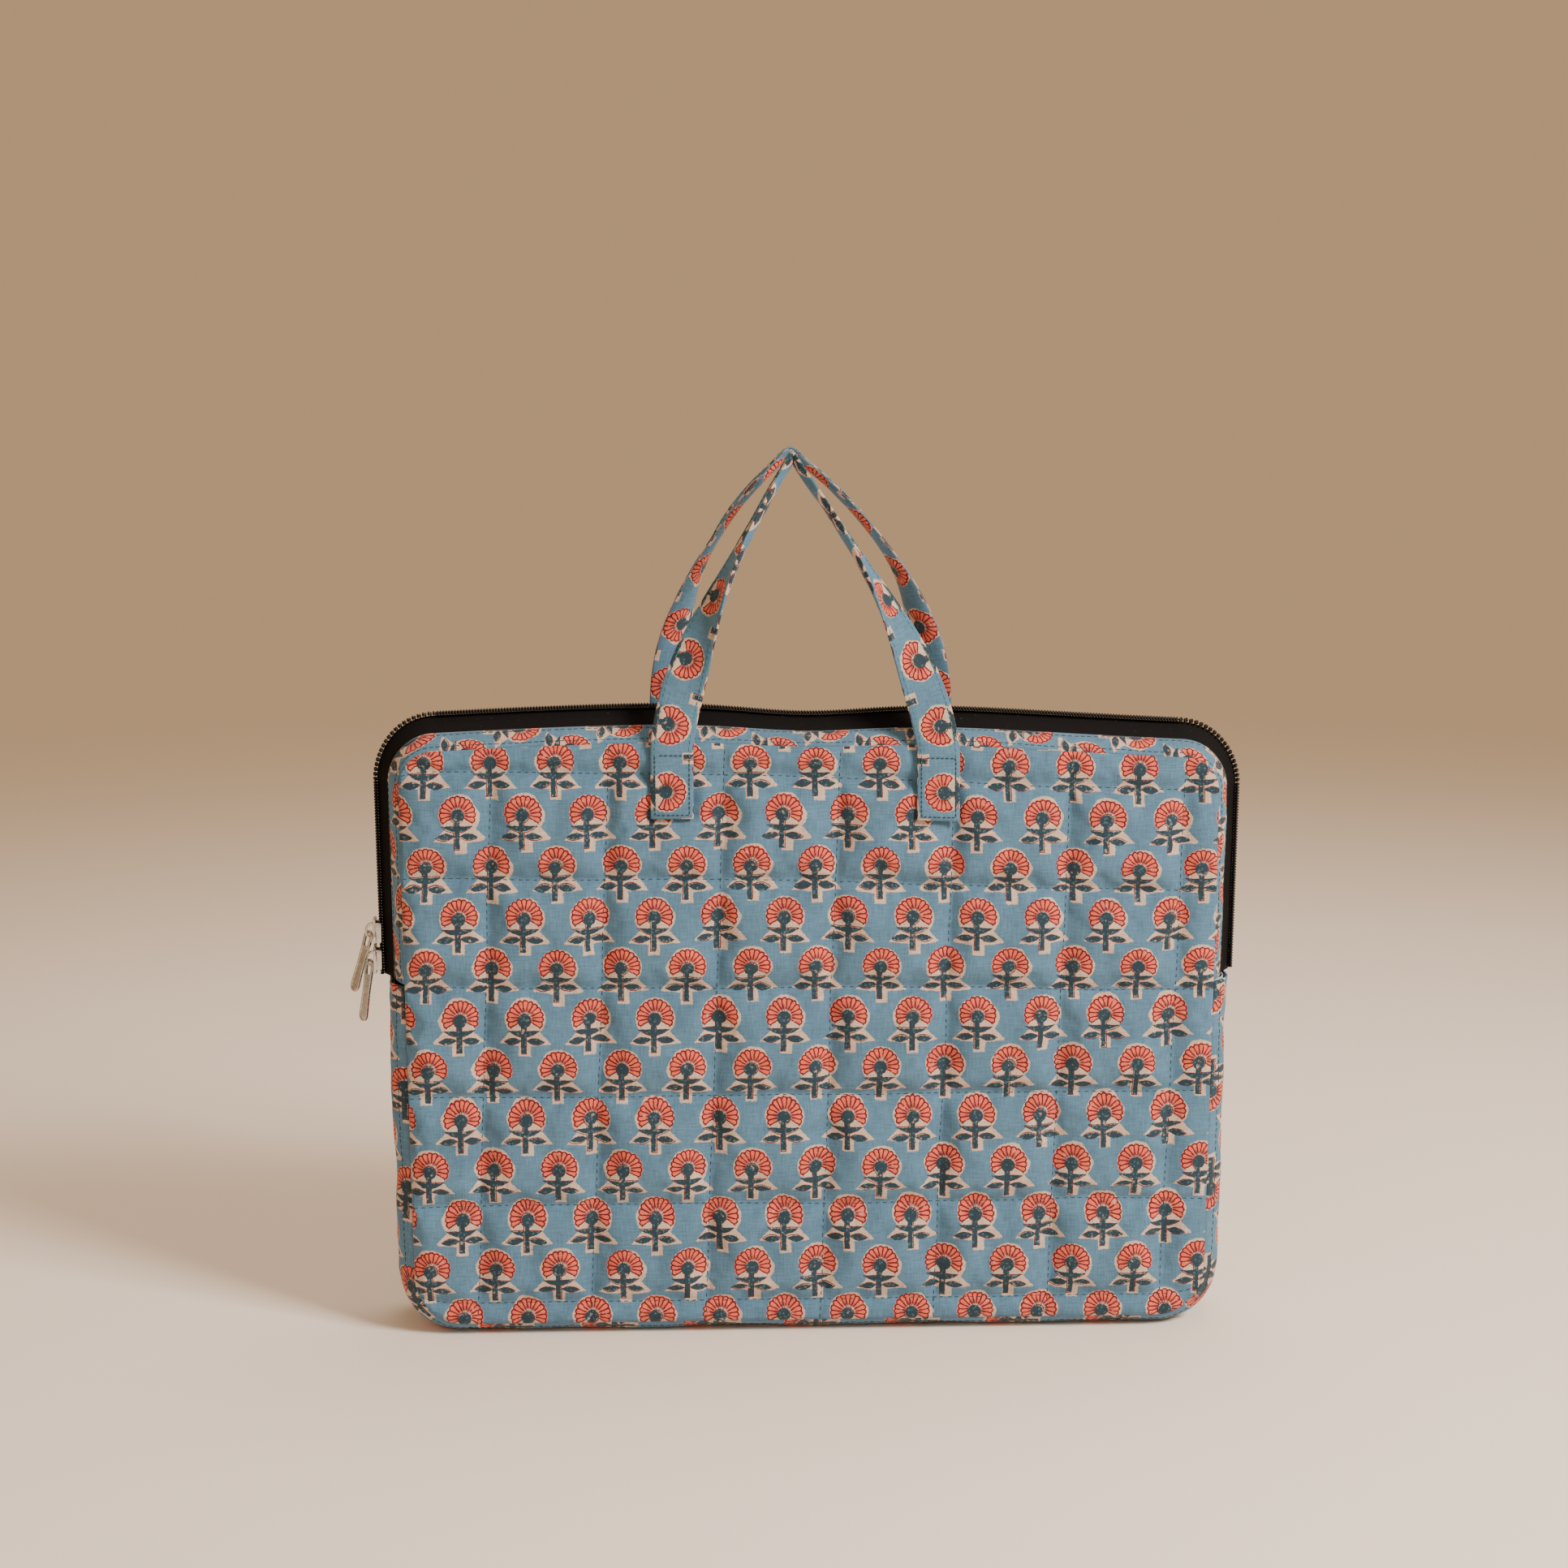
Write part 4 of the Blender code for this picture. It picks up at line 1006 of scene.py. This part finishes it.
def handle(face, side):
    """A quilted cotton strap: stitched down at both ends, twisted edge-on and pinched at its top."""
    stations = []
    for base_x, turn_side in zip(STRAP_ENDS, (side, -side)):
        half = []
        for k in range(16):
            z = STRAP_BASE_Z - STITCHED_LENGTH * (1 - k / 16)
            half.append((Vector((base_x, side * (half_depth(z) + STRAP_GAP + STRAP_THICKNESS / 2), z)),
                         Vector((1, 0, 0)), 0.0))
        for k in range(72):
            rise = k / 71
            centre, wide, _ = strap_station(base_x, rise, side, turn_side)
            half.append((centre, wide, rise))
        stations.append(half)
    loop = stations[0] + [(c, -w, r) for c, w, r in reversed(stations[1][:-1])]
    centres = np.array([c[:] for c, _, _ in loop])
    tip = len(stations[0]) - 1
    for _ in range(14):
        eased = centres.copy()
        eased[tip - 8:tip + 9] = (centres[tip - 9:tip + 8] + centres[tip - 8:tip + 9] * 2
                                  + centres[tip - 7:tip + 10]) / 4
        centres = eased
    centres[:, 2] += 3.5 * MM * np.exp(-((np.arange(len(loop)) - tip) / 2.4) ** 2)
    lengths = np.concatenate([[0], np.cumsum(np.linalg.norm(np.diff(centres, axis=0), axis=1))])
    between = lengths[-1] / MM - FIRST_FLOWER - LAST_FLOWER
    pace = round(between / PRINT_ACROSS) * PRINT_ACROSS / between
    rings, cloth, runs = [], [], {-1: [], 1: []}
    offs = []
    around = 28
    last = Vector((0, side, 0))
    for i, (_, wide, rise) in enumerate(loop):
        before, after = centres[max(0, i - 1)], centres[min(len(loop) - 1, i + 1)]
        along = Vector(after - before).normalized()
        wide = (wide - along * wide.dot(along)).normalized()
        through = along.cross(wide).normalized()
        outward = through if through.dot(last) > 0 else -through
        last = outward
        cup = CUP * smooth_step(0.12, 0.5, rise)
        narrow = 1 - 0.12 * smooth_step(0.2, 0.6, rise)
        pinch = 1 - 0.5 * hump((i - tip) / 9.0)
        ring, marks = [], []
        for k in range(around + 1):
            angle = 2 * pi * k / around
            c, s = cos(angle), sin(angle)
            flat_share = (abs(c) ** 0.6) * (1 if c > 0 else -1)
            thick_share = (abs(s) ** 0.75) * (1 if s > 0 else -1)
            wobble = noise.noise(Vector((lengths[i] * 60, angle * 0.5, side * 2.0))) * 0.35 * MM
            width = STRAP_WIDTH / 2 * narrow * (pinch if rise > 0.9 else 1.0)
            lift = -cup * (1 - flat_share ** 2)
            depth = thick_share * (STRAP_THICKNESS / 2 + wobble * min(1.0, rise * 8)) + lift
            point = Vector(centres[i]) + wide * flat_share * width + outward * depth
            if k < around:
                ring.append(point[:])
            v = flat_share * STRAP_WIDTH / 2 / MM + 9.0
            if s < 0:
                v = 2 * (STRAP_WIDTH / 2 / MM) + 18.0 - v
            marks.append(((FIRST_FLOWER - lengths[i] / MM) * pace, v))
        for way in (-1, 1):
            share = way * 0.8
            lift = -cup * (1 - share ** 2) + STRAP_THICKNESS / 2 * 0.78
            aside = wide * share * STRAP_WIDTH / 2 * narrow
            runs[way].append((Vector(centres[i]) + aside + outward * lift)[:])
        offs.append(outward[:])
        rings.append(ring)
        cloth.append(marks)
    made = grid_piece(f"{face}_handle_strap", rings, cloth, PRINT, wrap=True, flip=True)
    close_ends(made, len(rings), around)
    slack = beads(f"{face}_strap_topstitches",
                  sum((stitch_places(runs[way][8:-8], offs[8:-8], *STRAP_STITCH)
                       for way in (-1, 1)), []), TURQUOISE)
    boxes = []
    for x in STRAP_ENDS:
        corners = [(-7.6, -1.6), (-7.6, -28.2), (7.6, -28.2), (7.6, -1.6), (-7.6, -1.6)]
        box_run = []
        for (u0, v0), (u1, v1) in zip(corners, corners[1:]):
            proud = 0.2 * MM if v0 == v1 else 0.0
            for t in np.linspace(0, 1, 24, endpoint=False):
                u, v = (u0 + (u1 - u0) * t) * MM, STRAP_BASE_Z + (v0 + (v1 - v0) * t) * MM
                crown = STRAP_THICKNESS * (1.0 - 0.16 * (abs(u) / 9.5 / MM) ** 3)
                y = side * (half_depth(v) + STRAP_GAP + crown)
                box_run.append((x + u, y + side * proud, v))
        boxes += stitch_places(box_run, [(0, side, 0)] * len(box_run), *BOX_STITCH)
    box = beads(f"{face}_handle_box_stitches", boxes, THREAD)
    return made, slack, box


def close_ends(made, rings, around):
    """Caps both ends of a tube of rings."""
    build = bmesh.new()
    build.from_mesh(made.data)
    build.verts.ensure_lookup_table()
    cloth = build.loops.layers.uv["Cloth"]
    for start in (0, (rings - 1) * around):
        ring = [build.verts[start + k] for k in range(around)]
        cap = build.faces.new(ring if start else reversed(ring))
        for loop in cap.loops:
            loop[cloth].uv = (loop.vert.co.x / MM, loop.vert.co.z / MM)
    bmesh.ops.recalc_face_normals(build, faces=build.faces)
    build.to_mesh(made.data)
    build.free()


for side, face, holder in ((-1, "front", "front_flap"), (1, "back", "bag_body")):
    strap, slack, box = handle(face, side)
    dress(strap, "printed_cotton", f"{face}_handle", f"{face}_handle_left_end", f"{face}_handle_right_end")
    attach(settle(box), holder)
    for part in (settle(strap), settle(slack)):
        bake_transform(part)


# ---- sliders and pulls -------------------------------------------------------------------------------------
UPRIGHT = Matrix(((0, 0, 1, 0), (1, 0, 0, 0), (0, 1, 0, 0), (0, 0, 0, 1)))    # a flat plate, stood on edge


def mesh_of(curve):
    """The curve's solid as mesh data."""
    holder = bpy.data.objects.new(curve.name, curve)
    bpy.context.scene.collection.objects.link(holder)
    evaluated = holder.evaluated_get(bpy.context.evaluated_depsgraph_get())
    mesh = bpy.data.meshes.new_from_object(evaluated)
    bpy.data.objects.remove(holder, do_unlink=True)
    return mesh


def curve_mesh(name, outlines, height, bevel):
    """A flat plate through 2-D outlines, the later ones cut out of the first, as mesh data."""
    curve = bpy.data.curves.new(name, "CURVE")
    curve.dimensions = "2D"
    curve.fill_mode = "BOTH"
    curve.extrude = height / 2 - bevel
    curve.bevel_depth = bevel
    curve.bevel_resolution = 2
    curve.offset = -bevel
    for points in outlines:
        spline = curve.splines.new("POLY")
        spline.points.add(len(points) - 1)
        for point, (across, along) in zip(spline.points, points):
            point.co = (across, along, 0.0, 1.0)
        spline.use_cyclic_u = True
    return mesh_of(curve)


def joined(name, meshes, material):
    """One object of several (mesh, matrix) pairs."""
    build = bmesh.new()
    for mesh, matrix in meshes:
        mesh.transform(matrix)
        build.from_mesh(mesh)
    bmesh.ops.remove_doubles(build, verts=build.verts, dist=0.002 * MM)
    whole = bpy.data.meshes.new(name)
    build.to_mesh(whole)
    build.free()
    whole.materials.clear()
    whole.materials.append(material)
    whole.shade_smooth()
    whole.set_sharp_from_angle(angle=radians(38))
    made = bpy.data.objects.new(name, whole)
    bpy.context.scene.collection.objects.link(made)
    return made


def stadium(half_wide, half_long, centre, waist=0.0, steps=14):
    """A slot's outline with round ends; waist draws its long sides in."""
    straight = half_long - half_wide
    points = []
    for end in (1, -1):
        for i in range(steps + 1):
            angle = pi * i / steps
            points.append((end * half_wide * cos(angle), centre + end * (straight + half_wide * sin(angle))))
        for share in (0.25, 0.5, 0.75):
            y = straight * (1 - 2 * share)
            points.append((-end * (half_wide - waist * sin(share * pi)), centre + end * y))
    return points


PULL_LENGTH = 29 * MM
PULL_BAR = 1.2 * MM
PULL_TWIST = radians(34)       # both pulls hang turned the same way


def pull(name, node_name, joint, lean, twist):
    """A cast pull: a thin plate inside a raised rim, with a slot at its top that hangs in the arch."""
    middle = PULL_BAR / 2 - PULL_LENGTH / 2
    slot_at = -PULL_BAR / 2 - 3.25 * MM
    slot = stadium(1.8 * MM, 3.25 * MM, slot_at)
    plate = curve_mesh("plate", [stadium(2.7 * MM, 14 * MM, middle, 0.35 * MM), slot], 0.6 * MM, 0.05 * MM)
    rim = curve_mesh("rim", [stadium(3.2 * MM, 14.5 * MM, middle, 0.45 * MM),
                             stadium(2.3 * MM, 13.6 * MM, middle, 0.4 * MM)], 1.2 * MM, 0.22 * MM)
    eye = curve_mesh("eye", [stadium(2.8 * MM, 4.2 * MM, slot_at), slot], 1.15 * MM, 0.2 * MM)
    place = (Matrix.Translation(Vector(joints[joint]["pos_m"])) @ Matrix.Rotation(lean, 4, "Y")
             @ UPRIGHT @ Matrix.Rotation(twist, 4, "Y"))
    made = joined(name, [(mesh, place) for mesh in (plate, rim, eye)], NICKEL)
    dress(made, "nickel", node_name)
    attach(made, node_name)
    return made


SLIDER_OUTLINE = ((2.2, 6.2), (3.6, 5.2), (4.4, 3.4), (4.45, 1.6), (3.9, -1.0), (3.4, -3.2), (3.2, -5.2),
                  (2.6, -6.1))        # half of it, nose to tail, in millimetres
FLANGE_OUT = 3.45 * MM         # from the slider's middle to each flange
ARCH_STEPS = 20


def slider(name, node_name, way):
    """A slider's outer plate, wide at its nose and drawn in at its tail, with flanges and an arch."""
    low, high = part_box(node_name)
    middle_z = (low.z + high.z) / 2
    inner_x, plate_x = high.x, high.x - 1.6 * MM
    outline = [(y * MM, z * way * MM) for y, z in SLIDER_OUTLINE]
    outline += [(-y, z) for y, z in reversed(outline)]
    plate = curve_mesh("plate", [outline], 1.5 * MM, 0.4 * MM)
    meshes = [(plate, Matrix.Translation((inner_x - 0.8 * MM, 0, middle_z)) @ UPRIGHT)]
    for edge in (-1, 1):
        flange = curve_mesh("flange", [stadium(0.5 * MM, 4.6 * MM, 0.3 * MM * way)], 2.8 * MM, 0.2 * MM)
        place = Matrix.Translation((inner_x + 0.9 * MM, edge * FLANGE_OUT, middle_z))
        meshes.append((flange, place @ UPRIGHT))
    arch = bpy.data.curves.new("arch", "CURVE")
    arch.dimensions = "3D"
    arch.bevel_depth = 0.6 * MM
    arch.bevel_resolution = 4
    spline = arch.splines.new("POLY")
    spline.points.add(ARCH_STEPS)
    for i, point in enumerate(spline.points):
        angle = pi * i / ARCH_STEPS
        reach = 4.0 * MM * sin(angle) ** 0.7
        point.co = (plate_x + 0.8 * MM - reach, 0.0, middle_z + 3.4 * MM * cos(angle), 1.0)
        point.radius = 1.15 - 0.3 * sin(angle)
    meshes.append((mesh_of(arch), Matrix()))
    made = joined(name, meshes, NICKEL)
    dress(made, "nickel", node_name)
    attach(made, node_name)
    return made


slider("lower_slider_casting", "lower_slider", 1)
slider("upper_slider_casting", "upper_slider", -1)
pull("lower_pull_casting", "lower_pull", "lower_pull_swing", radians(8), PULL_TWIST)
pull("upper_pull_casting", "upper_pull", "upper_pull_swing", radians(16), PULL_TWIST)


# ---- floor, light and camera -------------------------------------------------------------------------------
def backdrop_paper():
    """Matt pale paper: lit evenly round the bag and lost in the studio's warm dusk further out."""
    made, tree, shader = new_material("backdrop_paper", 0.9)
    shader.inputs["Base Color"].default_value = linear("FBF2E8")
    place = node(tree, "TexCoord", output="Object")
    away = node(tree, "VectorMath", (place,), 1, operation="LENGTH")
    fade = node(tree, "MapRange", {0: away, 1: 0.45, 2: 1.9, 3: 0.0, 4: 1.0}, interpolation_type="SMOOTHSTEP")
    clear = node(tree, "BsdfTransparent")
    mixed = node(tree, "MixShader", (fade, shader.outputs[0], clear))
    tree.links.new(mixed, tree.nodes["Material Output"].inputs["Surface"])
    return made


floor = grid_piece("floor", [[(x * 2, y * 2, 0) for x in (-1, 1)] for y in (-1, 1)],
                   [[(0, 0), (1, 0)], [(0, 1), (1, 1)]], backdrop_paper())

world = bpy.data.worlds.new("studio")
bpy.context.scene.world = world
world.use_nodes = True
world.node_tree.nodes["Background"].inputs["Color"].default_value = linear("CDA67C")
world.node_tree.nodes["Background"].inputs["Strength"].default_value = 0.85


def area_light(name, place, target, size, power, colour):
    light = bpy.data.lights.new(name, "AREA")
    light.size = size
    light.energy = power
    light.color = linear(colour)[:3]
    made = bpy.data.objects.new(name, light)
    made.location = place
    made.rotation_euler = (Vector(target) - Vector(place)).to_track_quat("-Z", "Y").to_euler()
    bpy.context.scene.collection.objects.link(made)
    return made


area_light("key", (1.25, -1.15, 1.35), (0, 0, 0.12), 0.6, 62, "FFF6EC")
area_light("fill", (-1.0, -1.9, 0.9), (0, 0, 0.15), 1.4, 7, "F4F1EE")
area_light("top", (0.2, 0.6, 1.7), (0, 0, 0.2), 1.0, 9, "FFF7EE")

target = Vector((-11 * MM, 0, 247 * MM))
azimuth, elevation, distance = radians(-2.5), radians(10), 1.66
lens = bpy.data.cameras.new("camera")
lens.lens = 85
camera = bpy.data.objects.new("camera", lens)
bpy.context.scene.collection.objects.link(camera)
direction = Vector((sin(azimuth) * cos(elevation), -cos(azimuth) * cos(elevation), sin(elevation)))
camera.location = target + direction * distance
camera.rotation_euler = direction.to_track_quat("Z", "Y").to_euler()
bpy.context.scene.camera = camera
